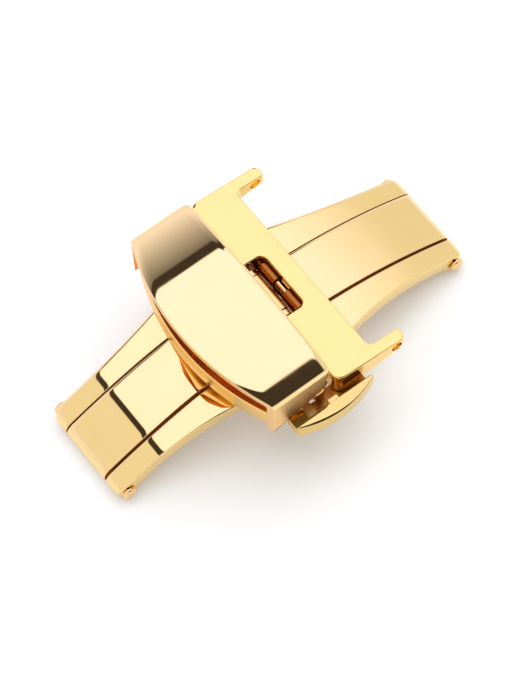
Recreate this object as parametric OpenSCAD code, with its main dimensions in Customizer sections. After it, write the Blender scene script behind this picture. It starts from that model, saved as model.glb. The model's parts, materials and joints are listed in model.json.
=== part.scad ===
// Butterfly clasp for a leather watch strap, closed, in millimetres.
// X runs along the strap, Y across it and Z up from the surface that the clasp stands on.
// The near side is -Y and the far side is +Y. The cover and head are on the -X half, and the
// push button is on the near side only.

/* [Strap] */
// Width of the strap between the lugs
strap_w = 18; // [17:0.5:20]
// Room between the lugs beyond the width of the strap
strap_room = 0.3; // [0.1:0.05:0.4]
// Thickness of each lug across the strap
lug_t = 1.15; // [1:0.05:1.4]
// Diameter of the spring bar hole in each lug
bar_hole_d = 1.0; // [0.8:0.05:1.2]

/* [Base frame] */
// Height of the curved top at the middle of the clasp
top_z = 6.0; // [5.8:0.1:6.4]
// Radius of the curved top along the strap
top_r = 41; // [39:1:44]
// Thickness of the rails at the middle of the clasp
rail_t = 1.25; // [1.1:0.05:1.4]
// Radius of the curved underside of the rails
under_r = 36; // [34:0.5:38]
// Distance of each end pin from the middle
end_pin_x = 17.45; // [17:0.05:18]
// Width of the base frame at its ends
end_w = 9.5; // [9:0.1:10.5]
// Distance from the middle at which the rails are narrowest
waist_x = 16; // [15:0.5:17]
// Radius of the hollow outer edge of the rails
waist_r = 46; // [42:1:60]
// Width of the base frame under the head
hub_w = 12.8; // [12.4:0.1:13.4]
// Corner radius at the ends of the rails
rail_corner_r = 0.9; // [0.3:0.1:1.2]
// Length of the bridge that joins the rails under the leaves
bridge_l = 3.0; // [2:0.1:4]
// Thickness of that bridge
bridge_t = 0.7; // [0.5:0.05:0.9]
// Width of the foot of the bridge under each rail
bridge_foot_w = 1.0; // [0.7:0.1:1.4]

/* [Leaves] */
// Width of each folding leaf
leaf_w = 5.24; // [4.9:0.02:5.5]
// Thickness of each folding leaf
leaf_t = 0.9; // [0.7:0.05:1.0]
// Gap between a leaf and the rails beside it
leaf_gap = 0.25; // [0.15:0.01:0.4]

/* [Hinges] */
// Diameter of the end pins
end_pin_d = 0.8; // [0.7:0.05:0.9]
// Diameter of the heads of the end pins
end_head_d = 1.3; // [1.1:0.05:1.5]
// Thickness of the heads of the end pins
end_head_t = 0.35; // [0.2:0.05:0.5]
// Diameter of the head and lug plate hinge pins
hinge_pin_d = 0.7; // [0.6:0.05:0.8]
// Radial clearance of a pin in the piece that turns on it
run_clear = 0.03; // [0.02:0.01:0.06]
// Radial clearance of a pin in the piece that holds it
hold_clear = 0.01; // [0.01:0.01:0.02]

/* [Head block] */
// Height of the underside of the head block
block_z = 6.15; // [6.12:0.01:6.3]
// Thickness of the head block
block_t = 2.05; // [1.95:0.05:2.2]
// Bow radius of the front edge of the head block
block_front_r = 20.6; // [19:0.2:24]
// How far the front edge lies from the middle of the clasp
block_front_x = 7.9; // [7.8:0.05:8.2]
// Distance of the rear face of the head block from the middle
block_rear_x = 0.15; // [0.05:0.05:0.25]
// Distance of the head hinge from the middle
head_hinge_x = 0.9; // [0.85:0.05:0.95]
// Height of the head hinge above the underside of the head block
head_hinge_h = 1.2; // [1.15:0.05:1.25]
// Radius of the rolled end of the tongue
tongue_r = 0.65; // [0.6:0.01:0.7]
// Width of the tongue
tongue_w = 3.9; // [3.5:0.1:4.1]
// Diameter of the strap peg
peg_d = 1.4; // [1.2:0.1:1.7]
// Height of the strap peg above the floor
peg_h = 1.5; // [1:0.1:1.6]
// Distance of the strap peg from the middle
peg_x = 5.6; // [5.2:0.1:6]

/* [Cover] */
// Thickness of the sheet of the cover
sheet_t = 0.65; // [0.55:0.05:0.7]
// Height of the top of the cover at its crown
cover_z = 11.8; // [11.4:0.1:12.2]
// Crown radius of the cover across the strap
crown_r = 62; // [50:1:80]
// Outer radius of the bends at the sides of the cover
bend_r = 0.8; // [0.75:0.05:1.2]
// Inner radius of those bends
inner_bend_r = 0.25; // [0.15:0.05:0.5]
// How far the sides of the cover stand in from the lug plate
cover_inset = 0.45; // [0.45:0.05:0.8]
// Bow radius of the front edge of the cover
cover_front_r = 22.2; // [21:0.2:24]
// How far the bowed front edge of the cover lies from the middle
cover_front_x = 8.2; // [8.1:0.05:8.4]
// Distance of the straight rear edge of the cover from the middle
cover_rear_x = 0.1; // [0:0.02:0.2]
// How far the side walls stop short of the rear edge
wall_setback = 0.22; // [0.1:0.02:0.4]
// Height of the side walls' lower edge at the front
wall_low_z = 6.3; // [6.2:0.05:6.4]
// Rise of the side walls' lower edge, in degrees
wall_rise = 19.5; // [19:0.5:21]
// Gap between the cover and the head block
cover_gap = 0.15; // [0.1:0.01:0.2]
// Distance of the cover pins from the middle
cover_pin_x = 1.1; // [1.05:0.05:1.2]
// Height of the cover pins above the underside of the head block
cover_pin_h = 0.85; // [0.8:0.05:0.9]
// Diameter of the cover pins
cover_pin_d = 0.7; // [0.6:0.05:0.8]
// Diameter of the heads of the cover pins
cover_head_d = 1.4; // [1.3:0.05:1.45]
// Thickness of the heads of the cover pins
cover_head_t = 0.4; // [0.3:0.05:0.45]
// Depth of each cover pin in the head block
cover_pin_depth = 0.9; // [0.6:0.1:1.0]
// Thickness of the ears of the cover
ear_t = 0.3; // [0.25:0.05:0.35]
// Radius of the ears of the cover
ear_r = 0.72; // [0.7:0.01:0.75]

/* [Lug plate] */
// Distance of the straight front face of the lug plate from the middle
plate_x = 0.25; // [0.22:0.01:0.3]
// Length of the body of the lug plate along the strap
plate_l = 4.2; // [4:0.1:4.6]
// Length of the lugs past the body
lug_l = 3.05; // [2.6:0.05:3.4]
// Thickness of the lug plate at its front face
plate_t = 2.6; // [2.5:0.05:2.7]
// Slope of the top of the lug plate, in degrees
plate_top_tilt = 5.7; // [5:0.1:6]
// Slope of the underside of the lug plate, in degrees
plate_under_tilt = 5.3; // [5:0.1:5.6]
// Distance of the spring bar hole from the tip of the lug
bar_inset = 1.0; // [0.9:0.05:1.2]
// Corner radius of the front corners of the lug plate
plate_corner_r = 0.9; // [0.5:0.1:1]
// Radius of the inner corner at the root of each lug
lug_root_r = 0.6; // [0.3:0.1:0.9]
// Radius of the outer corner at the tip of each lug
lug_tip_r = 0.55; // [0.3:0.05:0.6]
// Width of the notch for the hinge
notch_w = 5.9; // [5.8:0.05:6.2]
// Depth of the notch from the front face
notch_l = 2.4; // [2.4:0.02:2.5]
// Corner radius of the notch
notch_r = 0.7; // [0.4:0.1:1]
// Distance of the lug plate hinge from the middle
lug_hinge_x = 2.4; // [2.38:0.01:2.45]
// Height of the lug plate hinge above the underside of the head block
lug_hinge_h = 1.0; // [0.95:0.01:1.05]
// Radius of the rolled end of the right leaf
knuckle_r = 0.65; // [0.6:0.01:0.68]
// Width of the gap between the two cheeks of that rolled end
cheek_gap = 1.3; // [1:0.1:1.8]
// Depth of the hinge pin in each side of the notch
lug_pin_depth = 1.4; // [1:0.1:1.6]

/* [Push button] */
// Length of the push pad along the strap
pad_l = 7.9; // [7.7:0.1:8.2]
// Distance of the middle of the pad from the middle of the clasp
pad_x = 0.5; // [0.45:0.05:0.55]
// Thickness of the pad
pad_t = 1.5; // [1.3:0.05:1.6]
// How far the pad reaches below the underside of the head block
pad_drop = 0.5; // [0.45:0.05:0.55]
// Gap between the pad and the side of the lug plate
pad_gap = 0.55; // [0.52:0.01:0.7]
// Width of the pad at its middle
pad_w = 1.15; // [1:0.05:1.4]
// Width of the pad at its ends
pad_end_w = 0.25; // [0.2:0.05:0.5]
// Inward travel of the pad
travel = 0.45; // [0.3:0.05:0.45]
// Thickness of the catch slide
slide_t = 0.45; // [0.4:0.05:0.5]
// Width of the bar of the catch slide
shank_w = 0.8; // [0.7:0.05:0.85]
// Distance of the catch studs from the middle along the strap
stud_x = 2.2; // [2.15:0.05:2.25]
// Distance of the catch studs from the middle across the strap
stud_y = 4.6; // [4.5:0.05:4.7]
// Diameter of the heads of the catch studs
stud_d = 0.9; // [0.8:0.05:1.0]
// Width of the metal round each window of the catch slide
window_rim = 0.4; // [0.3:0.05:0.45]
// Room that the catch slide has in the head block
slide_gap = 0.1; // [0.08:0.01:0.12]

/* [Spring] */
// Outer diameter of the coil spring
spring_d = 1.1; // [1:0.05:1.15]
// Diameter of the spring wire
wire_d = 0.18; // [0.15:0.01:0.2]
// Number of turns of the coil spring
spring_turns = 4; // [3:0.5:4]

/* [Hidden] */

gold = [0.93, 0.80, 0.47];
deep_gold = [0.86, 0.70, 0.36];
pin_gold = [0.80, 0.62, 0.28];
steel = [0.72, 0.72, 0.74];

// Facets for large arcs and for small ones
arc_fn = 180;
small_fn = 48;
// More than any size of the clasp, for cuts that run past it
far_out = 60;
// Least step between two faces that must not coincide
sliver = 0.02;

// Base frame: the end knuckles touch the curved top and the ground
arc_z = top_z - top_r;
end_r = (pow(top_r, 2) - pow(end_pin_x, 2) - pow(arc_z, 2)) / (2 * (top_r - arc_z));
slot_half = leaf_w / 2 + leaf_gap;
under_z = top_z - rail_t;
bridge_top_z = top_z - leaf_t - leaf_gap;
leaf_end_r = end_r - sliver;
end_half = end_w / 2;

// Head and lug plate
head_hinge_z = block_z + head_hinge_h;
lug_hinge_z = block_z + lug_hinge_h;
floor_z = block_z + block_t;
lug_in = (strap_w + strap_room) / 2;
plate_half = lug_in + lug_t;
cover_half = plate_half - cover_inset;
wall_in = cover_half - sheet_t;
block_half = wall_in - cover_gap;
neck_step = 0.15;
neck_half = knuckle_r - neck_step;
hinge_gap = 0.05;
cheek_y = cheek_gap / 2;
peg_bevel = 0.25;
peg_shank_r = peg_d / 2 - 0.8 * peg_bevel;

// Cover pins
cover_pin_z = block_z + cover_pin_h;
ear_out = wall_in + ear_t;
ear_h = 2.2;
shoulder_rise = 0.5;

// Lug plate
notch_half = notch_w / 2;
plate_top_z = block_z + plate_t;
plate_rear_x = plate_x + plate_l;
tip_x = plate_rear_x + lug_l;
bar_x = tip_x - bar_inset;
bar_z = (plate_top(bar_x) + plate_under(bar_x)) / 2;
cavity_gap = 0.1;
cavity_r = knuckle_r + cavity_gap;
notch_run = 1;

// Push pad and catch slide, drawn with the pad on the far side
pad_z = block_z - pad_drop;
pad_in = plate_half + pad_gap;
pad_out = pad_in + pad_w;
pad_sag = pad_w - pad_end_w;
pad_r = (pow(pad_l / 2, 2) + pow(pad_sag, 2)) / (2 * pad_sag);
slide_z = block_z + slide_gap;
slide_top_z = slide_z + slide_t;
tab_depth = 0.5;
tab_gap = 0.01;
boss_w = 0.95;
boss_back = 0.35;
boss_x = -block_rear_x - boss_back;
boss_reach = 0.35;
pad_step = 0.2;
pad_arm_w = 1.45;
pad_arm_reach = 1.2;
stud_r = stud_d / 2;
stud_clear = 0.08;
// How far a stud moves along the window while the head lifts off it
lift_slip = 0.5;
window_low_x = -stud_x - stud_r - stud_clear;
window_high_x = -stud_x + stud_r + stud_clear + lift_slip;
window_in = stud_y - stud_r - stud_clear;
window_out = stud_y + stud_r + stud_clear + travel;
slide_in = window_in - window_rim;
tail_room = 0.8;
tail_end = block_half - tail_room;
shank_back = 0.35;
shank_x = -stud_x - shank_back;
stud_rise = 0.5;
stud_top_z = slide_top_z + stud_rise;
rivet_r = 0.3;
// How far below the middle of the rails a rivet reaches
rivet_proud = 0.1;

// Spring arm and spring
arm_x = -4.2;
arm_w = 0.5;
seat_w = 1.0;
seat_t = 0.4;
seat_inset = 0.1;
seat_out = block_half - seat_inset;
seat_in = seat_out - seat_t;
spring_r = (spring_d - wire_d) / 2;
spring_h = 1.15;
spring_z = block_z + spring_h;
spring_end = 5.3;
spring_l = seat_in - spring_end;
channel_half = 0.65;
channel_h = 1.8;
channel_top = block_z + channel_h;
arm_join = 6.9;

// Keeper plates
keeper_t = 0.3;
keeper_room = 0.3;
keeper_in = hub_w / 2 + keeper_room;
keeper_inset = 0.1;
keeper_out = block_half - keeper_inset;
keeper_l = 4.0;
keeper_x = -4.9;

// Seat studs: their slope is steeper than the path on which the lug plate lifts
seat_x = 2.4;
seat_y = 5.4;
seat_base_r = 0.58;
seat_top_r = 0.2;
seat_h = 0.85;
seat_clear = 0.12;

function arc_top(x) = arc_z + sqrt(pow(top_r, 2) - pow(x, 2));
function plate_top(x) = plate_top_z - (x - plate_x) * tan(plate_top_tilt);
function plate_under(x) = block_z + (x - plate_x) * tan(plate_under_tilt);
function seat_z() = arc_top(seat_x);

// Extrudes an outline drawn in X and Z from one place across the strap to another
module across(from_y, to_y) {
    translate([0, to_y, 0])
        rotate([90, 0, 0])
            linear_extrude(to_y - from_y)
                children();
}

// Extrudes an outline drawn in X and Y from one height to another
module upright(from_z, to_z) {
    translate([0, 0, from_z])
        linear_extrude(to_z - from_z)
            children();
}

// Repeats a shape drawn on the far side on both sides
module both_sides() {
    children();
    mirror([0, 1, 0]) children();
}

// A pin or bore that runs across the strap
module cross_pin(x, z, r, from_y, to_y) {
    translate([x, to_y, z])
        rotate([90, 0, 0])
            cylinder(h = to_y - from_y, r = r, $fn = small_fn);
}

// What a round corner leaves to be cut, with its outer corner at the origin
module corner_waste(r) {
    difference() {
        translate([-r, -r]) square(r + sliver);
        translate([-r, -r]) circle(r, $fn = small_fn);
    }
}

module top_arc(r) {
    translate([0, arc_z]) circle(r, $fn = arc_fn);
}

// Side view of the rails
module rail_side() {
    intersection() {
        difference() {
            top_arc(top_r);
            translate([0, under_z - under_r]) circle(under_r, $fn = arc_fn);
        }
        translate([-end_pin_x, 0]) square([2 * end_pin_x, top_z]);
    }
    for (x = [-end_pin_x, end_pin_x])
        translate([x, end_r]) circle(end_r, $fn = small_fn);
}

// Plan of the base frame: hollow edges and round corners
module frame_plan() {
    end_x = end_pin_x + end_r;
    difference() {
        square([2 * end_x, hub_w], center = true);
        for (x = [-waist_x, waist_x], y = [-1, 1])
            translate([x, y * (end_half + waist_r)]) circle(waist_r, $fn = arc_fn);
        for (x = [-1, 1], y = [-1, 1])
            scale([x, y])
                translate([end_x, end_half]) corner_waste(rail_corner_r);
    }
}

module base_frame() {
    foot_out = slot_half + bridge_foot_w;
    bridge_low_z = bridge_top_z - bridge_t;
    color(gold) difference() {
        union() {
            intersection() {
                across(-hub_w / 2, hub_w / 2) rail_side();
                upright(0, top_z) frame_plan();
            }
            upright(bridge_low_z, under_z + rail_t / 2)
                square([bridge_l, 2 * foot_out], center = true);
        }
        translate([-far_out / 2, -slot_half, bridge_top_z]) cube([far_out, 2 * slot_half, top_z]);
        for (x = [-1, 1])
            translate([x * (bridge_l + far_out) / 2, 0, 0])
                cube([far_out, 2 * slot_half, far_out], center = true);
        for (x = [-end_pin_x, end_pin_x])
            cross_pin(x, end_r, end_pin_d / 2 + hold_clear, -hub_w, hub_w);
        for (y = [-stud_y, stud_y])
            translate([-stud_x, y, 0]) cylinder(h = far_out, r = rivet_r + hold_clear, $fn = small_fn);
        for (y = [-seat_y, seat_y])
            translate([seat_x, y, 0]) cylinder(h = far_out, r = rivet_r + hold_clear, $fn = small_fn);
    }
}

// An end pin: a shank through rails and leaf, with a head outside each rail
module end_pin(x) {
    head_in = end_half + 3 * sliver;
    color(pin_gold) {
        cross_pin(x, end_r, end_pin_d / 2, -head_in, head_in);
        both_sides() cross_pin(x, end_r, end_head_d / 2, head_in, head_in + end_head_t);
    }
}

// A catch stud: a shank riveted in the rail and a head shaped like a mushroom
module catch_stud() {
    head_z = slide_top_z + slide_gap;
    color(pin_gold) translate([-stud_x, stud_y, 0]) {
        upright(under_z - rivet_proud, head_z + sliver) circle(rivet_r, $fn = small_fn);
        translate([0, 0, head_z])
            cylinder(h = stud_top_z - head_z, r1 = stud_r, r2 = rivet_r, $fn = small_fn);
    }
}

// A cone that seats the lug plate on the rail
module seat_stud() {
    color(pin_gold) translate([seat_x, seat_y, 0]) {
        upright(under_z - rivet_proud, seat_z() + 2 * sliver) circle(rivet_r, $fn = small_fn);
        translate([0, 0, seat_z() + sliver])
            cylinder(h = seat_h, r1 = seat_base_r, r2 = seat_top_r, $fn = small_fn);
    }
}

// Side view of a leaf on the +X half, from its end pin in to a given place
module leaf_side(inner_x) {
    intersection() {
        difference() {
            top_arc(top_r);
            top_arc(top_r - leaf_t);
        }
        translate([inner_x, 0]) square([end_pin_x - inner_x, top_z]);
    }
    translate([end_pin_x, end_r]) circle(leaf_end_r, $fn = small_fn);
}

// Rolled end of a leaf: a round eye on an upright neck
module leaf_eye(x, z, eye_r, half_neck) {
    translate([x, z]) circle(eye_r, $fn = small_fn);
    translate([x - half_neck, top_z - leaf_t / 2]) square([2 * half_neck, z - top_z + leaf_t / 2]);
}

module left_leaf() {
    half = leaf_w / 2;
    eye_in = tongue_w / 2 + hinge_gap;
    inner_x = head_hinge_x + neck_half;
    color(deep_gold) difference() {
        union() {
            across(-half, half) mirror([1, 0]) leaf_side(-inner_x);
            both_sides()
                across(eye_in, half)
                    leaf_eye(head_hinge_x, head_hinge_z, tongue_r - hinge_gap, neck_half);
        }
        cross_pin(-end_pin_x, end_r, end_pin_d / 2 + run_clear, -far_out, far_out);
        cross_pin(head_hinge_x, head_hinge_z, hinge_pin_d / 2 + hold_clear, -far_out, far_out);
    }
}

module right_leaf() {
    half = leaf_w / 2;
    color(deep_gold) difference() {
        union() {
            across(-half, half) leaf_side(lug_hinge_x - neck_half);
            both_sides()
                across(cheek_y, half) leaf_eye(lug_hinge_x, lug_hinge_z, knuckle_r, neck_half);
        }
        cross_pin(end_pin_x, end_r, end_pin_d / 2 + run_clear, -far_out, far_out);
        cross_pin(lug_hinge_x, lug_hinge_z, hinge_pin_d / 2 + run_clear, -far_out, far_out);
    }
}

// Plan of the head block, with its bowed front edge
module block_plan() {
    intersection() {
        translate([block_front_r - block_front_x, 0]) circle(block_front_r, $fn = arc_fn);
        translate([-block_front_x, -block_half])
            square([block_front_x - block_rear_x, 2 * block_half]);
    }
}

// Places a shape drawn at the stud next to the pad at both studs
module at_both_studs() {
    children();
    translate([0, -2 * stud_y]) children();
}

// Room in the head block for the catch slide, the studs and the spring
module slide_room() {
    low = block_z - sliver;
    high = slide_top_z + slide_gap;
    upright(low, high) {
        at_both_studs()
            translate([window_low_x - window_rim - slide_gap, slide_in - travel - slide_gap])
                square([
                    window_high_x - window_low_x + 2 * (window_rim + slide_gap),
                    window_out + window_rim - slide_in + travel + 2 * slide_gap
                ]);
        translate([shank_x - shank_w / 2 - slide_gap, -tail_end - travel - slide_gap])
            square([shank_w + 2 * slide_gap, far_out]);
        translate([arm_x, arm_join - travel - slide_gap])
            square([shank_x - arm_x, travel + arm_w + 2 * slide_gap]);
    }
    upright(low, stud_top_z + slide_gap)
        at_both_studs()
            translate([window_low_x, stud_y - stud_r - slide_gap])
                square([window_high_x - window_low_x, 2 * (stud_r + slide_gap)]);
    upright(low, channel_top)
        translate([arm_x - channel_half, spring_end])
            square([2 * channel_half, far_out]);
}

module head_block() {
    half_tongue = tongue_w / 2;
    color(gold) difference() {
        union() {
            upright(block_z, floor_z) block_plan();
            across(-half_tongue, half_tongue) {
                translate([head_hinge_x, head_hinge_z]) circle(tongue_r, $fn = small_fn);
                translate([-2 * block_rear_x, head_hinge_z - tongue_r / 2])
                    square([head_hinge_x + 2 * block_rear_x, 1.5 * tongue_r]);
            }
        }
        near() slide_room();
        both_sides()
            cross_pin(-cover_pin_x, cover_pin_z, cover_pin_d / 2 + hold_clear,
                      block_half - cover_pin_depth, far_out);
        cross_pin(head_hinge_x, head_hinge_z, hinge_pin_d / 2 + run_clear, -far_out, far_out);
        translate([-peg_x, 0, 0]) cylinder(h = far_out, r = peg_shank_r + hold_clear, $fn = small_fn);
    }
}

module head_pin() {
    color(pin_gold)
        cross_pin(head_hinge_x, head_hinge_z, hinge_pin_d / 2, -leaf_w / 2, leaf_w / 2);
}

// The peg that goes through a hole of the strap, riveted in the floor
module strap_peg() {
    color(pin_gold) translate([-peg_x, 0, 0]) {
        upright(block_z, floor_z + sliver) circle(peg_shank_r, $fn = small_fn);
        upright(floor_z + sliver, floor_z + peg_h - peg_bevel) circle(peg_d / 2, $fn = small_fn);
        translate([0, 0, floor_z + peg_h - peg_bevel])
            cylinder(h = peg_bevel, r1 = peg_d / 2, r2 = peg_d / 2 - peg_bevel, $fn = small_fn);
    }
}

// Section of the cover across the strap, solid below its skin: a crown with a bend at each side
module cover_section(half, top, crown, bend) {
    centre_z = top - crown;
    bend_y = half - bend;
    bend_z = centre_z + sqrt(pow(crown - bend, 2) - pow(bend_y, 2));
    touch_y = bend_y * crown / (crown - bend);
    intersection() {
        translate([0, centre_z]) circle(crown, $fn = arc_fn);
        translate([-touch_y, 0]) square([2 * touch_y, top]);
    }
    for (y = [-bend_y, bend_y])
        translate([y, bend_z]) circle(bend, $fn = small_fn);
    translate([-half, 0]) square([2 * half, bend_z]);
}

// The same section swept along the strap
module cover_sweep(half, top, crown, bend) {
    translate([-far_out / 2, 0, 0])
        rotate([90, 0, 90])
            linear_extrude(far_out)
                cover_section(half, top, crown, bend);
}

// Side view of what the cover keeps: sloped lower edge and set back rear edge of the walls
module cover_side() {
    wall_rear_x = -cover_rear_x - wall_setback;
    shoulder_z = plate_top_z + shoulder_rise;
    polygon([
        [-far_out / 2, far_out / 2],
        [-far_out / 2, wall_low_z],
        [wall_front(), wall_low_z],
        [wall_rear_x, wall_low_z + (wall_rear_x - wall_front()) * tan(wall_rise)],
        [wall_rear_x, shoulder_z],
        [-cover_rear_x, shoulder_z + 2 * wall_setback],
        [-cover_rear_x, far_out / 2]
    ]);
}

// Where the bowed front edge of the cover meets the outside of its walls
function wall_front() =
    cover_front_r - cover_front_x - sqrt(pow(cover_front_r, 2) - pow(cover_half, 2));

// Ear of the cover, inside the plane of its wall
module ear_side() {
    translate([-cover_pin_x, cover_pin_z]) circle(ear_r, $fn = small_fn);
    translate([-cover_pin_x - ear_r, cover_pin_z]) square([2 * ear_r, ear_h]);
}

module cover() {
    color(gold) difference() {
        union() {
            intersection() {
                difference() {
                    cover_sweep(cover_half, cover_z, crown_r, bend_r);
                    cover_sweep(wall_in, cover_z - sheet_t, crown_r - sheet_t, inner_bend_r);
                }
                across(-far_out / 2, far_out / 2) cover_side();
                translate([cover_front_r - cover_front_x, 0, 0])
                    cylinder(h = far_out, r = cover_front_r, $fn = arc_fn);
            }
            both_sides() across(wall_in, ear_out) ear_side();
        }
        both_sides()
            cross_pin(-cover_pin_x, cover_pin_z, cover_pin_d / 2 + run_clear, 0, far_out);
    }
}

module cover_pin() {
    head_in = ear_out + run_clear;
    color(pin_gold) {
        cross_pin(-cover_pin_x, cover_pin_z, cover_pin_d / 2, block_half - cover_pin_depth, head_in);
        cross_pin(-cover_pin_x, cover_pin_z, cover_head_d / 2, head_in, head_in + cover_head_t);
    }
}

// Plan of the push pad: straight inside and bowed outside
module pad_plan() {
    intersection() {
        translate([-pad_x, pad_out - pad_r]) circle(pad_r, $fn = arc_fn);
        translate([-pad_x - pad_l / 2, pad_in]) square([pad_l, pad_w]);
    }
}

// Push pad, with a boss and an arm that reach in, and a pocket for the slide
module push_pad() {
    tab_x = shank_x - shank_w / 2 - tab_gap;
    color(gold) difference() {
        union() {
            upright(pad_z, pad_z + pad_t) pad_plan();
            upright(pad_z + pad_step, pad_z + pad_t)
                translate([boss_x - boss_w / 2, pad_in - boss_reach]) square([boss_w, boss_reach + sliver]);
            upright(pad_z + pad_step, slide_top_z - pad_step / 4)
                translate([-pad_x - pad_l / 2, pad_in - pad_arm_reach])
                    square([pad_arm_w, pad_arm_reach + sliver]);
        }
        upright(slide_z - tab_gap, slide_top_z + tab_gap)
            translate([tab_x, 0]) square([shank_w + 2 * tab_gap, pad_in + tab_depth + tab_gap]);
    }
}

// Catch slide: a bar right across the head with a window round each stud, and an arm that
// bears on the spring
module catch_slide() {
    color(pin_gold) {
        upright(slide_z, slide_top_z) {
            difference() {
                union() {
                    at_both_studs()
                        translate([window_low_x - window_rim, slide_in])
                            square([
                                window_high_x - window_low_x + 2 * window_rim,
                                window_out + window_rim - slide_in
                            ]);
                    translate([shank_x - shank_w / 2, -tail_end])
                        square([shank_w, pad_in + tab_depth + tail_end]);
                }
                at_both_studs()
                    translate([window_low_x, window_in])
                        square([window_high_x - window_low_x, window_out - window_in]);
            }
            translate([arm_x, arm_join]) square([shank_x - arm_x, arm_w]);
            translate([arm_x - arm_w / 2, arm_join]) square([arm_w, seat_out - arm_join]);
        }
        upright(slide_z, channel_top - slide_gap)
            translate([arm_x - seat_w / 2, seat_in]) square([seat_w, seat_t]);
    }
}

// Points round one ring of the spring wire
function wire_ring(centre, out, along, sides) = [
    for (k = [0 : sides - 1])
        centre + wire_d / 2 * (cos(360 * k / sides) * out + sin(360 * k / sides) * along)
];

// Coil spring across the strap: a helix between two short straight ends, as one tube
module coil_spring() {
    sides = 6;
    rings_per_turn = 8;
    steps = round(rings_per_turn * spring_turns);
    margin = wire_d + sliver;
    start_y = spring_end + margin;
    rise = (spring_l - 2 * margin) / spring_turns;
    path_points = [for (i = [0 : steps]) spring_point(i * 360 / rings_per_turn, start_y, rise)];
    lead_in = path_points[0] - wire_d * spring_tangent(0, rise);
    lead_out = path_points[steps] + wire_d * spring_tangent(360 * spring_turns, rise);
    angles = concat([0], [for (i = [0 : steps]) i * 360 / rings_per_turn], [360 * spring_turns]);
    centres = concat([lead_in], path_points, [lead_out]);
    rings = [
        for (i = [0 : len(centres) - 1])
            wire_ring(centres[i], spring_out(angles[i]), spring_side(angles[i], rise), sides)
    ];
    tube(rings, sides);
}

function spring_out(angle) = [cos(angle), 0, sin(angle)];

function spring_point(angle, start_y, rise) =
    [arm_x, start_y + rise * angle / 360, spring_z] + spring_r * spring_out(angle);

function spring_tangent(angle, rise) =
    unit([-sin(angle), rise / (2 * PI * spring_r), cos(angle)]);

function spring_side(angle, rise) = cross(spring_tangent(angle, rise), spring_out(angle));

function unit(v) = v / norm(v);

// Closed tube through rings of points
module tube(rings, sides) {
    last = len(rings) - 1;
    points = [for (ring = rings, point = ring) point];
    skin = [
        for (i = [0 : last - 1], k = [0 : sides - 1])
            let (
                a = i * sides + k,
                b = i * sides + (k + 1) % sides
            )
            each [[b, a, b + sides], [b + sides, a, a + sides]]
    ];
    caps = [
        for (k = [1 : sides - 2])
            each [[0, k, k + 1], [last * sides, last * sides + k + 1, last * sides + k]]
    ];
    polyhedron(points = points, faces = concat(skin, caps));
}

module spring() {
    color(steel) coil_spring();
}

// Plate that closes the slide and spring channels from below
module keeper() {
    color(deep_gold)
        upright(block_z - keeper_t, block_z)
            intersection() {
                translate([keeper_x, keeper_in]) square([keeper_l, keeper_out - keeper_in]);
                block_plan();
            }
}

// Plan of the lug plate: body, lugs, round corners and lug roots
module plate_plan() {
    difference() {
        union() {
            translate([plate_x, -plate_half]) square([plate_l, 2 * plate_half]);
            for (y = [-plate_half, lug_in])
                translate([plate_rear_x - sliver, y]) square([lug_l + sliver, lug_t]);
            for (y = [-1, 1])
                scale([1, y])
                    translate([plate_rear_x, lug_in])
                        mirror([1, 0])
                            corner_waste(lug_root_r);
        }
        for (y = [-1, 1])
            scale([1, y]) {
                translate([tip_x, plate_half]) corner_waste(lug_tip_r);
                translate([tip_x, lug_in]) mirror([0, 1]) corner_waste(lug_tip_r / 2);
                translate([plate_x, plate_half]) mirror([1, 0]) corner_waste(plate_corner_r);
            }
        notch_plan();
    }
}

module notch_plan() {
    difference() {
        translate([plate_x - notch_run, -notch_half]) square([notch_l + notch_run, notch_w]);
        for (y = [-1, 1])
            scale([1, y])
                translate([plate_x + notch_l, notch_half]) corner_waste(notch_r);
    }
}

// Side view of the lug plate: a wedge that thins towards the lug tips
module plate_side() {
    polygon([
        [plate_x, plate_under(plate_x)],
        [plate_x, plate_top(plate_x)],
        [tip_x, plate_top(tip_x)],
        [tip_x, plate_under(tip_x)]
    ]);
}

module lug_plate() {
    pin_out = notch_half + lug_pin_depth;
    color(gold) difference() {
        intersection() {
            across(-plate_half, plate_half) plate_side();
            upright(0, far_out) plate_plan();
        }
        across(-notch_half, notch_half) {
            translate([lug_hinge_x, lug_hinge_z]) circle(cavity_r, $fn = small_fn);
            translate([lug_hinge_x - cavity_r, 0]) square([2 * cavity_r, lug_hinge_z]);
        }
        cross_pin(lug_hinge_x, lug_hinge_z, hinge_pin_d / 2 + hold_clear, -pin_out, pin_out);
        cross_pin(bar_x, bar_z, bar_hole_d / 2, -far_out, far_out);
        both_sides()
            translate([seat_x, seat_y, seat_z() - seat_clear])
                cylinder(h = seat_h + 2 * seat_clear, r1 = seat_base_r + 2 * seat_clear,
                         r2 = seat_top_r + seat_clear, $fn = small_fn);
    }
}

module lug_pin() {
    reach = notch_half + lug_pin_depth - sliver;
    color(pin_gold) cross_pin(lug_hinge_x, lug_hinge_z, hinge_pin_d / 2, -reach, reach);
}

// A piece drawn on the far side, put on the near side
module near() {
    mirror([0, 1, 0]) children();
}

// Moves a piece so that the whole clasp, button included, is centred across the strap
module place() {
    translate([0, (pad_out - plate_half) / 2, 0]) children();
}

// Least gap of the spring wire to itself, one turn along
spring_gap = (spring_l - 2 * wire_d - 2 * sliver) / spring_turns - wire_d;
echo(spring_gap = spring_gap);

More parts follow.
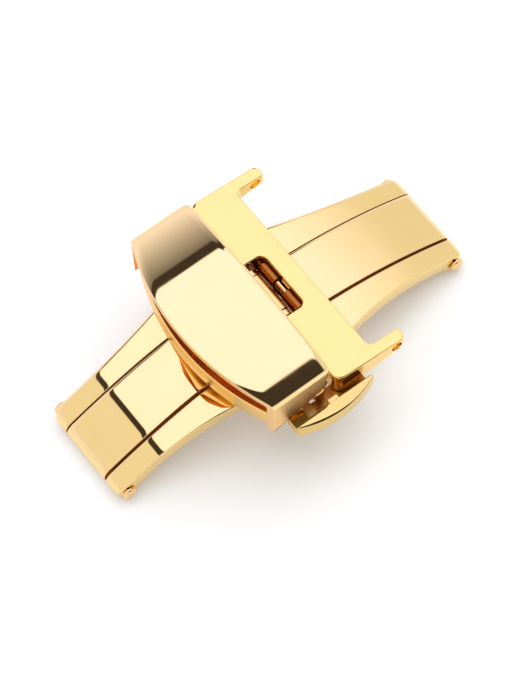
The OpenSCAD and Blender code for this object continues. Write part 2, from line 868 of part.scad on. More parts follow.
place() base_frame();
place() end_pin(-end_pin_x);  // left_end_pin
place() end_pin(end_pin_x);  // right_end_pin
place() near() catch_stud();  // near_catch_stud
place() catch_stud();  // far_catch_stud
place() near() seat_stud();  // near_seat_stud
place() seat_stud();  // far_seat_stud
place() left_leaf();
place() right_leaf();
place() head_block();
place() head_pin();
place() strap_peg();
place() cover();
place() near() cover_pin();  // near_cover_pin
place() cover_pin();  // far_cover_pin
place() near() push_pad();
place() near() catch_slide();
place() near() spring();  // button_spring
place() near() keeper();  // near_keeper
place() keeper();  // far_keeper
place() lug_plate();
place() lug_pin();
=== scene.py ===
"""Looks of a polished butterfly watch clasp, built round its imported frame.

Sizes in the classes are millimetres in the drawing's own axes: X along the strap, Y across it from
the middle of the strap, Z up from the surface that the clasp stands on.
"""
import json
import logging
import math
from dataclasses import dataclass, field
from enum import Enum
from functools import partial, reduce
from typing import Callable, Sequence

import bmesh
import bpy
import numpy as np
from mathutils import Matrix, Vector
from mathutils.geometry import delaunay_2d_cdt

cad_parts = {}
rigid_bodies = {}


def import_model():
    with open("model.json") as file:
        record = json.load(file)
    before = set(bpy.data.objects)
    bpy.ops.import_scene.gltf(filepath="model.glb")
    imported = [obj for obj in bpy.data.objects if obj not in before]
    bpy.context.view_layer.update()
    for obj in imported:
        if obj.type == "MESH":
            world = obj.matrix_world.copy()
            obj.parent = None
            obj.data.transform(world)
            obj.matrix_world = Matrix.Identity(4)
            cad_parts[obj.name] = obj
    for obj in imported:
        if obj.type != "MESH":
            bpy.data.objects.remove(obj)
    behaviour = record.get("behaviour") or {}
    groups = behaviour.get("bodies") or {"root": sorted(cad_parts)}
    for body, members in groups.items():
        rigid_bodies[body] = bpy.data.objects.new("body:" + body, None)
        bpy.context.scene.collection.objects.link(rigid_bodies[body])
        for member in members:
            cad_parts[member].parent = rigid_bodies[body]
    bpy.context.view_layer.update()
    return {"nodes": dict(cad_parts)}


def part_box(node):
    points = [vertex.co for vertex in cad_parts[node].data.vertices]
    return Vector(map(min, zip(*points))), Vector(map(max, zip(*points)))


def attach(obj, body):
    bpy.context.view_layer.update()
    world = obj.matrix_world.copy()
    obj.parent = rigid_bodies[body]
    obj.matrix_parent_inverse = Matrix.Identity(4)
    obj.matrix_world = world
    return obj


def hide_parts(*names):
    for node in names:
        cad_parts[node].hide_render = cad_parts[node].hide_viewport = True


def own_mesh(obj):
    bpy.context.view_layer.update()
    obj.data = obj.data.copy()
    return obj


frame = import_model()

MM = 0.001
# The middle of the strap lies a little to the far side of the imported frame's origin
MID_Y = sum(corner[1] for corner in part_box("lug_plate")) / 2 / MM

log = logging.getLogger("clasp")

Array = np.ndarray
Height = Callable[[Array, Array], Array]
Place = Callable[[Array], Array]
Colour = tuple[float, float, float]
Object = bpy.types.Object
Socket = bpy.types.NodeSocket
Tree = bpy.types.NodeTree

HOLE_SIDES = 32
# In millimetres: a height below the pieces that are cut, and a distance past them in any direction
BELOW, PAST = 5.0, 12.0
# Depth in metres that the bump of a finish stands for
BUMP_DEPTH = 0.00002


class Tone(Enum):
    """The finishes that a piece may have."""

    POLISHED = "polished_gold"
    LEAF = "leaf_gold"
    HEAD = "head_gold"
    COVER = "cover_gold"
    PLATE = "plate_gold"
    BUTTON = "button_gold"
    PIN = "pin_gold"
    SATIN = "satin_gold"
    WIRE = "spring_steel"


class Side(Enum):
    """The two sides of the strap, by the sign of Y."""

    NEAR = -1
    FAR = 1


# ---------------------------------------------------------------- outlines


def arc(cx: float, cy: float, radius: float, start: float, end: float, count: int) -> Array:
    """Points on an arc.

    Args:
        cx, cy: Centre.
        radius: Radius.
        start, end: Angles in degrees.
        count: Number of points, both ends included.

    Returns:
        The points, one row each.
    """
    t = np.radians(np.linspace(start, end, count))
    return np.column_stack([cx + radius * np.cos(t), cy + radius * np.sin(t)])


def rounded(corners: Sequence[tuple[float, float, float]], steps: int = 6) -> Array:
    """A closed outline of straight sides with round corners.

    Args:
        corners: Corner points with the radius of each, counter-clockwise.
        steps: Points on each corner, less one.

    Returns:
        The points of the outline.
    """
    pts = np.array(corners, float)
    out = []
    for i, (x, y, r) in enumerate(pts):
        here = np.array([x, y])
        to_a = pts[i - 1, :2] - here
        to_b = pts[(i + 1) % len(pts), :2] - here
        to_a /= np.linalg.norm(to_a)
        to_b /= np.linalg.norm(to_b)
        if r <= 0:
            out.append(here[None])
            continue
        half = math.acos(float(np.clip(to_a @ to_b, -1, 1))) / 2
        reach = r / math.tan(half)
        middle = (to_a + to_b) / np.linalg.norm(to_a + to_b)
        centre = here + middle * r / math.sin(half)
        a, b = here + to_a * reach - centre, here + to_b * reach - centre
        start, end = math.atan2(a[1], a[0]), math.atan2(b[1], b[0])
        turn = (end - start + math.pi) % (2 * math.pi) - math.pi
        out.append(arc(*centre, r, math.degrees(start), math.degrees(start + turn), steps + 1))
    return np.vstack(out)


def circle(x: float, y: float, radius: float, sides: int = HOLE_SIDES) -> Array:
    """A closed circle, counter-clockwise."""
    return arc(x, y, radius, 0, 360, sides + 1)[:-1]


def hole(x: float, y: float, radius: float) -> Array:
    """A round hole of a plan, clockwise."""
    return arc(x, y, radius, 360, 0, HOLE_SIDES + 1)[:-1]


def eased(t: Array) -> Array:
    """A share from 0 to 1, with a soft start and end."""
    t = np.clip(t, 0, 1)
    return t**2 * (3 - 2 * t)


def outward(points: Array) -> Array:
    """Outward normals of an outline, each side weighted by its length.

    Args:
        points: The outline, counter-clockwise.

    Returns:
        One unit vector a point.
    """
    side = np.roll(points, -1, axis=0) - points
    square = np.column_stack([side[:, 1], -side[:, 0]])
    both = square + np.roll(square, 1, axis=0)
    return both / np.linalg.norm(both, axis=1)[:, None]


def inside(q: Array, loops: Sequence[Array]) -> Array:
    """Whether each point lies within an outline and outside its holes.

    Args:
        q: Points to test.
        loops: The outline and its holes.

    Returns:
        One truth value a point.
    """
    hit = np.zeros(len(q), bool)
    for loop in loops:
        a, b = loop, np.roll(loop, -1, axis=0)
        for (ax, ay), (bx, by) in zip(a, b):
            if ay == by:
                continue
            crosses = (ay > q[:, 1]) != (by > q[:, 1])
            hit ^= crosses & (q[:, 0] < (bx - ax) * (q[:, 1] - ay) / (by - ay) + ax)
    return hit


def edge_distance(q: Array, loops: Sequence[Array]) -> Array:
    """Distance from each point to the nearest side of the loops.

    Args:
        q: Points to test.
        loops: The outline and its holes.

    Returns:
        One distance a point.
    """
    best = np.full(len(q), np.inf)
    for loop in loops:
        a, b = loop, np.roll(loop, -1, axis=0)
        for p, s in zip(a, b - a):
            length = float(s @ s)
            if length == 0:
                continue
            t = np.clip((q - p) @ s / length, 0, 1)
            best = np.minimum(best, np.hypot(*(q - p - t[:, None] * s).T))
    return best


# ---------------------------------------------------------------- solids


def level(height: float) -> Height:
    """A flat end face at one height."""
    return lambda u, v: np.full_like(u, height)


def upright(p: Array) -> Array:
    """Leaves a solid as drawn: plan in X and Y, height along Z."""
    return p


def across(p: Array) -> Array:
    """Plan in X and Z, height along Y."""
    return p[:, [0, 2, 1]]


def along(p: Array) -> Array:
    """Plan in Y and Z, height along X."""
    return p[:, [2, 0, 1]]


@dataclass
class Skin:
    """A mesh in the making: points, faces and the true normal at each point."""

    points: Array
    faces: list[tuple[int, ...]]
    normals: Array

    def joined(self, other: "Skin") -> "Skin":
        """Puts two skins together.

        Args:
            other: The skin to add.

        Returns:
            Both as one skin.
        """
        shift = len(self.points)
        return Skin(
            np.vstack([self.points, other.points]),
            self.faces + [tuple(i + shift for i in face) for face in other.faces],
            np.vstack([self.normals, other.normals]),
        )


@dataclass(frozen=True)
class Edge:
    """How the edge between the ends and the side of a solid is finished.

    A round lies at the edge itself. A lip is a shallow roll of the side towards it, and a brow is a
    shallow roll of the end face. Where an outline has no share of these, the edge is just tight.
    """

    radius: float = 0.07
    tight: float = 0.06
    steps: int = 5
    lip_w: float = 0.0
    lip_h: float = 0.0
    brow_w: float = 0.0
    brow_h: float = 0.0

    def path(self, share: Array) -> tuple[Array, Array]:
        """The edge's section at each point of the outline.

        Args:
            share: For each point, how much of the lip and brow it has, from 0 to 1.

        Returns:
            Inset and drop of each ring, from the end face out to the side.
        """
        s = np.linspace(0, 1, 9)[:-1] if self.brow_w else np.zeros(0)
        t = np.radians(np.linspace(0, 90, self.steps + 1))
        e = np.linspace(0, 1, 9)[1:] if self.lip_w else np.zeros(0)
        lip = self.lip_h * share[None]
        brow_w, brow_h = self.brow_w * share[None], self.brow_h * share[None]
        r = self.tight + (self.radius - self.tight) * share[None]
        inset = [
            lip + r + brow_w * (1 - s[:, None]),
            lip + r * (1 - np.sin(t))[:, None],
            lip * (1 - e[:, None]) ** 3,
        ]
        drop = [
            brow_h * s[:, None] ** 2,
            brow_h + r * (1 - np.cos(t))[:, None],
            brow_h + r + self.lip_w * e[:, None] * share[None],
        ]
        return np.vstack(inset), np.vstack(drop)


SHARP = Edge(radius=0.001, tight=0.001, steps=1)


@dataclass
class Solid:
    """A closed solid over a plan, between two heights, with finished edges."""

    plan: Array
    low: Height
    high: Height
    edge: Edge = Edge()
    low_edge: Edge | None = None
    holes: Sequence[Array] = ()
    grid: float = 0.0
    share: Array | None = None
    place: Place = upright

    def skin(self) -> Skin:
        """Makes the mesh, with normals from the shape's own formulas.

        Returns:
            The finished skin, in its place.
        """
        loops = [self.plan, *self.holes]
        points, normals, faces = [], [], []
        base = 0
        rims: list[list[tuple[int, int]]] = [[], []]
        for k, loop in enumerate(loops):
            share = self.share if k == 0 and self.share is not None else np.ones(len(loop))
            rows = []
            for top in (True, False):
                edge = self.edge if top else (self.low_edge or self.edge)
                p, n = self._rings(loop, edge, share, top)
                rows.append((p, n) if top else (p[::-1], n[::-1]))
            grid_p = np.concatenate([rows[0][0], rows[1][0]])
            grid_n = np.concatenate([rows[0][1], rows[1][1]])
            count, m = grid_p.shape[:2]
            rims[0].append((base, m))
            rims[1].append((base + (count - 1) * m, m))
            points.append(grid_p.reshape(-1, 3))
            normals.append(grid_n.reshape(-1, 3))
            for i in range(count - 1):
                a = base + i * m + np.arange(m)
                b = base + i * m + (np.arange(m) + 1) % m
                faces += list(zip(a.tolist(), (a + m).tolist(), (b + m).tolist(), b.tolist()))
            base += count * m
        flat = np.vstack(points)
        for top, rim in zip((True, False), rims):
            extra, extra_n, tris = self._cap(flat, rim, top, base)
            points.append(extra)
            normals.append(extra_n)
            faces += tris
            base += len(extra)
        return self._placed(np.vstack(points), faces, np.vstack(normals))

    def _level(self, q: Array, top: bool) -> Array:
        """Height of an end face at points of the plan."""
        return (self.high if top else self.low)(q[:, 0], q[:, 1])

    def _slope(self, q: Array, top: bool) -> Array:
        """Direction of an end face.

        Args:
            q: Points of the plan.
            top: Whether it is the upper face.

        Returns:
            The unit normals.
        """
        h = 0.002
        du = (self._level(q + [h, 0], top) - self._level(q - [h, 0], top)) / (2 * h)
        dv = (self._level(q + [0, h], top) - self._level(q - [0, h], top)) / (2 * h)
        n = np.column_stack([-du, -dv, np.ones(len(q))])
        n /= np.linalg.norm(n, axis=1)[:, None]
        return n if top else -n

    def _rings(self, loop: Array, edge: Edge, share: Array, top: bool) -> tuple[Array, Array]:
        """Makes the rounded edge of one end.

        Args:
            loop: The outline or a hole.
            edge: How the edge is finished.
            share: For each point, how much of the lip and brow it has.
            top: Whether it is the upper end.

        Returns:
            Rings of points, and of normals, from the end face out to the side.
        """
        n2 = outward(loop)
        inset, drop = edge.path(share)
        out_p, out_n = [], []
        turn_i, turn_d = np.gradient(inset, axis=0), np.gradient(drop, axis=0)
        flat = np.hypot(turn_i, turn_d) < 1e-9
        turn_i, turn_d = np.where(flat, -1.0, turn_i), np.where(flat, 0.0, turn_d)
        turn_i[0], turn_d[0] = -1.0, 0.0
        turn_i[-1], turn_d[-1] = 0.0, 1.0
        size = np.hypot(turn_i, turn_d)
        for i, d, ti, td in zip(inset, drop, turn_i / size, turn_d / size):
            q = loop - n2 * i[:, None]
            w = self._level(q, top) - d * (1 if top else -1)
            face_n = self._slope(q, top)
            side_n = np.column_stack([n2, np.zeros(len(q))])
            n = side_n * td[:, None] - face_n * ti[:, None]
            out_p.append(np.column_stack([q, w]))
            out_n.append(n / np.linalg.norm(n, axis=1)[:, None])
        return np.array(out_p), np.array(out_n)

    def _cap(
        self, flat: Array, rim: list[tuple[int, int]], top: bool, base: int
    ) -> tuple[Array, Array, list[tuple[int, ...]]]:
        """Fills an end face with triangles, close enough together to follow its curve.

        Args:
            flat: All points so far.
            rim: First point and number of points of each innermost ring.
            top: Whether it is the upper face.
            base: Number of the next new point.

        Returns:
            New points, their normals, and the triangles.
        """
        index = np.concatenate([first + np.arange(m) for first, m in rim])
        loops = [flat[first : first + m, :2] for first, m in rim]
        drop = self._level(flat[index][:, :2], top) - flat[index][:, 2]
        sides = []
        start = 0
        for _, m in rim:
            sides += [(start + i, start + (i + 1) % m) for i in range(m)]
            start += m
        more = np.zeros((0, 2))
        if self.grid:
            low, high = loops[0].min(0), loops[0].max(0)
            gu, gv = np.meshgrid(
                np.arange(low[0] + self.grid / 2, high[0], self.grid),
                np.arange(low[1] + self.grid / 2, high[1], self.grid),
            )
            more = np.column_stack([gu.ravel(), gv.ravel()])
            more = more[inside(more, loops)]
            more = more[edge_distance(more, loops) > self.grid * 0.4]
        all_q = np.vstack([*loops, more])
        result = delaunay_2d_cdt([Vector(q) for q in all_q.tolist()], sides, [], 0, 1e-7)
        source = [first[0] for first in result[3]]
        tris = np.array([[source[i] for i in tri] for tri in result[2]])
        keep = inside(all_q[tris].mean(axis=1), loops)
        number = np.concatenate([index, base + np.arange(len(more))])
        tris = number[tris[keep]]
        if not top:
            tris = tris[:, ::-1]
        if not len(more):
            return np.zeros((0, 3)), np.zeros((0, 3)), [tuple(t) for t in tris.tolist()]
        w = self._level(more, top)
        if self.edge.lip_w == 0 and np.ptp(drop) < 1e-6:
            w = w - drop[0]
        return np.column_stack([more, w]), self._slope(more, top), [tuple(t) for t in tris.tolist()]

    def _placed(self, p: Array, faces: list[tuple[int, ...]], n: Array) -> Skin:
        """Puts the solid in its place, with its normals turned to suit.

        Args:
            p: Points as drawn.
            faces: Faces as drawn.
            n: Normals as drawn.

        Returns:
            The placed skin, facing outward.
        """
        h = 1e-4
        axes = [(self.place(p + step) - self.place(p - step)) / (2 * h) for step in np.eye(3) * h]
        a, b, c = axes
        turned = np.cross(b, c) * n[:, :1] + np.cross(c, a) * n[:, 1:2] + np.cross(a, b) * n[:, 2:]
        if float(np.einsum("ij,ij->i", np.cross(a, b), c)[0]) < 0:
            faces = [face[::-1] for face in faces]
            turned = -turned
        turned /= np.linalg.norm(turned, axis=1)[:, None]
        return Skin(self.place(p), faces, turned)


def mirrored(skin: Skin) -> Skin:
    """The same skin on the other side of the strap."""
    flip = np.array([1, -1, 1])
    return Skin(skin.points * flip, [face[::-1] for face in skin.faces], skin.normals * flip)


def rod(
    x: float, y: float, radius: float, low: float, high: float, place: Place = upright, sides: int = HOLE_SIDES
) -> Skin:
    """A plain round bar, for cutting.

    Args:
        x, y: Centre in the plan.
        radius: Radius.
        low, high: Heights of its ends.
        place: Where the plan lies.
        sides: Number of sides.

    Returns:
        Its skin.
    """
    return Solid(circle(x, y, radius, sides), level(low), level(high), SHARP, place=place).skin()


def new_object(name: str, data: bpy.types.ID) -> Object:
    """Makes an object and links it to the scene.

    Args:
        name: Its name.
        data: Its mesh, camera or light.

    Returns:
        The object.
    """
    obj = bpy.data.objects.new(name, data)
    bpy.context.scene.collection.objects.link(obj)
    return obj


def make_object(name: str, skin: Skin) -> Object:
    """Makes a Blender object of a skin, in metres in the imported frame.

    Args:
        name: Name of the piece.
        skin: Its mesh in millimetres.

    Returns:
        The object, at the origin and unturned.
    """
    mesh = bpy.data.meshes.new(name)
    placed = (skin.points + [0, MID_Y, 0]) * MM
    mesh.from_pydata(placed.tolist(), [], skin.faces)
    mesh.polygons.foreach_set("use_smooth", [True] * len(mesh.polygons))
    mesh.normals_split_custom_set_from_vertices(skin.normals.tolist())
    mesh.update()
    return new_object(name, mesh)


def as_plain_mesh(obj: Object) -> None:
    """Replaces an object's mesh by the result of its modifiers, and removes them.

    Args:
        obj: The object.
    """
    graph = bpy.context.evaluated_depsgraph_get()
    mesh = bpy.data.meshes.new_from_object(obj.evaluated_get(graph), depsgraph=graph)
    obj.modifiers.clear()
    obj.data = mesh
    mesh.name = obj.name


def carve(obj: Object, cutters: Sequence[Skin], sharp: float = 35.0) -> None:
    """Cuts solids out of an object and works out its normals anew.

    Args:
        obj: The object to cut.
        cutters: What is taken away, in millimetres.
        sharp: Angle in degrees above which an edge stays sharp.
    """
    tools = [make_object(f"{obj.name}_cutter_{i}", skin) for i, skin in enumerate(cutters)]
    for tool in tools:
        cut = obj.modifiers.new("cut", "BOOLEAN")
        cut.operation = "DIFFERENCE"
        cut.solver = "EXACT"
        cut.object = tool
    as_plain_mesh(obj)
    for tool in tools:
        mesh = tool.data
        bpy.data.objects.remove(tool)
        bpy.data.meshes.remove(mesh)
    mesh = obj.data
    if "custom_normal" in mesh.attributes:
        mesh.attributes.remove(mesh.attributes["custom_normal"])
    mesh.set_sharp_from_angle(angle=math.radians(sharp))
    weighted = obj.modifiers.new("weighted", "WEIGHTED_NORMAL")
    weighted.keep_sharp = True
    weighted.weight = 100
    as_plain_mesh(obj)


# ---------------------------------------------------------------- geometry nodes


class NodeTree:
    """A Geometry Nodes tree with named inputs, built step by step."""

    def __init__(self, name: str, inputs: Sequence[tuple[str, str, object]]) -> None:
        """Starts the tree.

        Args:
            name: Its name.
            inputs: Label, socket type and starting value of each input.
        """
        self.tree = bpy.data.node_groups.new(name, "GeometryNodeTree")
        self.tree.is_modifier = True
        face = self.tree.interface
        face.new_socket("Geometry", in_out="INPUT", socket_type="NodeSocketGeometry")
        self.ids: dict[str, str] = {}
        for label, kind, value in inputs:
            socket = face.new_socket(label, in_out="INPUT", socket_type=kind)
            if value is not None:
                socket.default_value = value
            self.ids[label] = socket.identifier
        face.new_socket("Geometry", in_out="OUTPUT", socket_type="NodeSocketGeometry")
        self.source = self.tree.nodes.new("NodeGroupInput")
        self.sink = self.tree.nodes.new("NodeGroupOutput")

    def node(self, kind: str, **links: object) -> bpy.types.Node:
        """Adds a node.

        Args:
            kind: Type of the node.
            links: Settings, and inputs by name with underscores for blanks. An output socket is
                linked, a number or vector is set.

        Returns:
            The node.
        """
        made = self.tree.nodes.new(kind)
        for key, value in links.items():
            if hasattr(made, key) and not isinstance(value, Socket):
                setattr(made, key, value)
                continue
            socket = made.inputs[key.replace("_", " ")]
            if isinstance(value, Socket):
                self.tree.links.new(value, socket)
            else:
                socket.default_value = value
        return made

    def finish(self, mesh: Socket) -> None:
        """Ends the tree: real points and faces, with the chosen material.

        Args:
            mesh: Geometry to end with.
        """
        real = self.node("GeometryNodeRealizeInstances", Geometry=mesh)
        dressed = self.node(
            "GeometryNodeSetMaterial",
            Geometry=real.outputs["Geometry"],
            Material=self.source.outputs["Material"],
        )
        self.tree.links.new(dressed.outputs["Geometry"], self.sink.inputs["Geometry"])

    def apply(self, obj: Object, **values: object) -> None:
        """Runs the tree on an object and keeps the result as its plain mesh.

        Args:
            obj: The object.
            values: Inputs by label, with underscores for blanks.
        """
        run = obj.modifiers.new(self.tree.name, "NODES")
        run.node_group = self.tree
        for label, value in values.items():
            run[self.ids[label.replace("_", " ")]] = value
        as_plain_mesh(obj)


def turning_tree() -> NodeTree:
    """A lathe: turns a profile of points (radius, 0, height) into a closed round piece.

    Returns:
        The tree.
    """
    tree = NodeTree(
        "turned_piece",
        [("Sides", "NodeSocketInt", 48), ("Material", "NodeSocketMaterial", None)],
    )
    curve = tree.node("GeometryNodeMeshToCurve", Mesh=tree.source.outputs["Geometry"])
    place = tree.node("GeometryNodeInputPosition")
    parts = tree.node("ShaderNodeSeparateXYZ", Vector=place.outputs[0])
    radius = tree.node(
        "GeometryNodeSetCurveRadius", Curve=curve.outputs[0], Radius=parts.outputs["X"]
    )
    centre = tree.node("ShaderNodeCombineXYZ", Z=parts.outputs["Z"])
    line = tree.node(
        "GeometryNodeSetPosition", Geometry=radius.outputs[0], Position=centre.outputs[0]
    )
    ring = tree.node("GeometryNodeCurvePrimitiveCircle", Resolution=tree.source.outputs["Sides"])
    ring.inputs["Radius"].default_value = 1.0
    body = tree.node(
        "GeometryNodeCurveToMesh",
        Curve=line.outputs[0],
        Profile_Curve=ring.outputs[0],
        Scale=tree.node("GeometryNodeInputRadius").outputs[0],
    )
    body.inputs["Fill Caps"].default_value = True
    tree.finish(body.outputs[0])
    return tree


def spring_tree() -> NodeTree:
    """A coil spring: a round wire that follows a helix.

    Returns:
        The tree.
    """
    tree = NodeTree(
        "coil_spring",
        [
            ("Turns", "NodeSocketFloat", 4.0),
            ("Radius", "NodeSocketFloat", 0.46 * MM),
            ("Length", "NodeSocketFloat", 3.0 * MM),
            ("Wire Radius", "NodeSocketFloat", 0.09 * MM),
            ("Material", "NodeSocketMaterial", None),
        ],
    )
    get = tree.source.outputs
    coil = tree.node(
        "GeometryNodeCurveSpiral",
        Resolution=36,
        Rotations=get["Turns"],
        Start_Radius=get["Radius"],
        End_Radius=get["Radius"],
        Height=get["Length"],
    )
    ring = tree.node("GeometryNodeCurvePrimitiveCircle", Resolution=14)
    tree.tree.links.new(get["Wire Radius"], ring.inputs["Radius"])
    wire = tree.node("GeometryNodeCurveToMesh", Curve=coil.outputs[0], Profile_Curve=ring.outputs[0])
    wire.inputs["Fill Caps"].default_value = True
    smooth = tree.node("GeometryNodeSetShadeSmooth", Geometry=wire.outputs[0])
    tree.finish(smooth.outputs[0])
    return tree


# ---------------------------------------------------------------- finishes


def shader_group(
    name: str, inputs: Sequence[tuple[str, str, object]], outputs: Sequence[tuple[str, str]]
) -> Tree:
    """An empty shader group with named sockets.

    Args:
        name: Name of the group.
        inputs: Name, socket type and default value of each input.
        outputs: Name and socket type of each output.

    Returns:
        The group, with its input and output nodes in place.
    """
    tree = bpy.data.node_groups.new(name, "ShaderNodeTree")
    for label, kind, value in inputs:
        socket = tree.interface.new_socket(label, in_out="INPUT", socket_type=kind)
        if value is not None:
            socket.default_value = value
    for label, kind in outputs:
        tree.interface.new_socket(label, in_out="OUTPUT", socket_type=kind)
    tree.nodes.new("NodeGroupInput").name = "in"
    tree.nodes.new("NodeGroupOutput").name = "out"
    return tree


def add(tree: Tree, kind: str, settings: dict | None = None, **inputs: object) -> bpy.types.Node:
    """Adds a shader node.

    Args:
        tree: Where it goes.
        kind: Type of the node.
        settings: Its own settings.
        inputs: Inputs by name with underscores for blanks, or by number as in_0. An output socket
            is linked, a number or vector is set.

    Returns:
        The node.
    """
    made = tree.nodes.new(kind)
    for key, value in (settings or {}).items():
        setattr(made, key, value)
    for key, value in inputs.items():
        slot = int(key[3:]) if key.startswith("in_") else key.replace("_", " ")
        if isinstance(value, Socket):
            tree.links.new(value, made.inputs[slot])
        else:
            made.inputs[slot].default_value = value
    return made


def math_node(tree: Tree, operation: str, a: object, b: object = 0.0) -> Socket:
    """The result of a sum of two sockets or numbers."""
    return add(tree, "ShaderNodeMath", {"operation": operation}, in_0=a, in_1=b).outputs[0]


def product(tree: Tree, *values: object) -> Socket:
    """The product of sockets or numbers."""
    return reduce(partial(math_node, tree, "MULTIPLY"), values)


def greatest(tree: Tree, *values: object) -> Socket:
    """The greatest of sockets or numbers."""
    return reduce(partial(math_node, tree, "MAXIMUM"), values)


def remap(
    tree: Tree, value: object, low: float, high: float, to_low: float = 0.0, to_high: float = 1.0,
    even: bool = False,
) -> Socket:
    """Takes a value from one range to another.

    Args:
        tree: Where the node goes.
        value: The value.
        low, high: Range that it comes from, which may fall.
        to_low, to_high: Range that it goes to.
        even: Whether the way is straight, and not eased at both ends.

    Returns:
        The new value.
    """
    kind = "LINEAR" if even else "SMOOTHSTEP"
    node = add(tree, "ShaderNodeMapRange", {"interpolation_type": kind}, Value=value)
    for label, number in zip(("From Min", "From Max", "To Min", "To Max"), (low, high, to_low, to_high)):
        node.inputs[label].default_value = number
    return node.outputs[0]


def mix_colour(tree: Tree, factor: object, a: object, b: object, mode: str = "MIX") -> Socket:
    """Mixes two colours.

    Args:
        tree: Where the node goes.
        factor: Share of the second colour.
        a, b: The colours.
        mode: How they are mixed.

    Returns:
        The mixed colour.
    """
    node = add(tree, "ShaderNodeMix", {"data_type": "RGBA", "blend_type": mode})
    for slot, value in ((0, factor), (6, a), (7, b)):
        if isinstance(value, Socket):
            tree.links.new(value, node.inputs[slot])
        else:
            node.inputs[slot].default_value = value
    return node.outputs[2]


def tone_group() -> Tree:
    """Slow changes of tone over plated metal, with faint darker specks.

    Returns:
        The group.
    """
    tree = shader_group(
        "plating_tone",
        [
            ("Light", "NodeSocketColor", (1, 0.8, 0.4, 1)),
            ("Deep", "NodeSocketColor", (0.8, 0.5, 0.2, 1)),
            ("Patch", "NodeSocketFloat", 220.0),
            ("Amount", "NodeSocketFloat", 0.3),
        ],
        [("Color", "NodeSocketColor")],
    )
    get = tree.nodes["in"].outputs
    where = add(tree, "ShaderNodeTexCoord").outputs["Object"]
    cloud = add(tree, "ShaderNodeTexNoise", Vector=where, Scale=get["Patch"], Detail=3.0)
    speck = add(tree, "ShaderNodeTexNoise", Vector=where, Scale=5200.0, Detail=1.0)
    slow = remap(tree, cloud.outputs[0], 0.35, 0.7)
    fine = remap(tree, speck.outputs[0], 0.66, 0.8, 0.0, 0.35)
    share = product(tree, math_node(tree, "ADD", slow, fine), get["Amount"])
    colour = mix_colour(tree, share, get["Light"], get["Deep"])
    tree.links.new(colour, tree.nodes["out"].inputs["Color"])
    return tree


def buffing_group() -> Tree:
    """Marks of the polishing wheel: hairlines one way, smudges, and a height for a bump.

    Returns:
        The group.
    """
    tree = shader_group(
        "buffing_marks",
        [
            ("Smooth", "NodeSocketFloat", 0.04),
            ("Smudge", "NodeSocketFloat", 0.03),
            ("Across", "NodeSocketFloat", 9000.0),
            ("Along", "NodeSocketFloat", 260.0),
        ],
        [("Roughness", "NodeSocketFloat"), ("Height", "NodeSocketFloat")],
    )
    get = tree.nodes["in"].outputs
    where = add(tree, "ShaderNodeTexCoord").outputs["Object"]
    stretch = add(tree, "ShaderNodeCombineXYZ", X=get["Along"], Y=get["Across"], Z=get["Across"])
    pulled = add(tree, "ShaderNodeVectorMath", {"operation": "MULTIPLY"}, in_0=where, in_1=stretch.outputs[0])
    hair = add(tree, "ShaderNodeTexNoise", Vector=pulled.outputs[0], Scale=1.0, Detail=2.0)
    cloud = add(tree, "ShaderNodeTexNoise", Vector=where, Scale=330.0, Detail=4.0)
    smudge = product(tree, remap(tree, cloud.outputs[0], 0.4, 0.72), get["Smudge"])
    line = product(tree, remap(tree, hair.outputs[0], 0.55, 0.8), get["Smudge"], 0.5)
    rough = math_node(tree, "ADD", get["Smooth"], math_node(tree, "ADD", smudge, line))
    tree.links.new(rough, tree.nodes["out"].inputs["Roughness"])
    tree.links.new(hair.outputs[0], tree.nodes["out"].inputs["Height"])
    return tree


def grain_group() -> Tree:
    """Fine pits of a matt, blasted face, as a mask and a height.

    Returns:
        The group.
    """
    tree = shader_group(
        "fine_grain",
        [("Size", "NodeSocketFloat", 9000.0)],
        [("Mask", "NodeSocketFloat"), ("Height", "NodeSocketFloat")],
    )
    get = tree.nodes["in"].outputs
    where = add(tree, "ShaderNodeTexCoord").outputs["Object"]
    pits = add(tree, "ShaderNodeTexVoronoi", Vector=where, Scale=get["Size"])
    wide = add(tree, "ShaderNodeTexNoise", Vector=where, Scale=get["Size"], Detail=2.0)
    both = math_node(tree, "ADD", pits.outputs[0], wide.outputs[0])
    tree.links.new(remap(tree, both, 0.6, 1.3), tree.nodes["out"].inputs["Mask"])
    tree.links.new(both, tree.nodes["out"].inputs["Height"])
    return tree


class Measure(Enum):
    """What a ramp goes by: a place in millimetres, or a part of the face's unit normal."""

    X = "place along the strap"
    REACH = "distance from the middle of the strap"
    Z = "height"
    FACE_X = "facing along the strap"
    FACE_SIDE = "facing either side"
    FACE_AWAY = "facing away from the middle of the strap"
    FACE_Z = "facing up"


@dataclass(frozen=True)
class Ramp:
    """A share that grows to 1 while a measure goes from one value to another."""

    measure: Measure
    start: float
    full: float
    least: float = 0.0


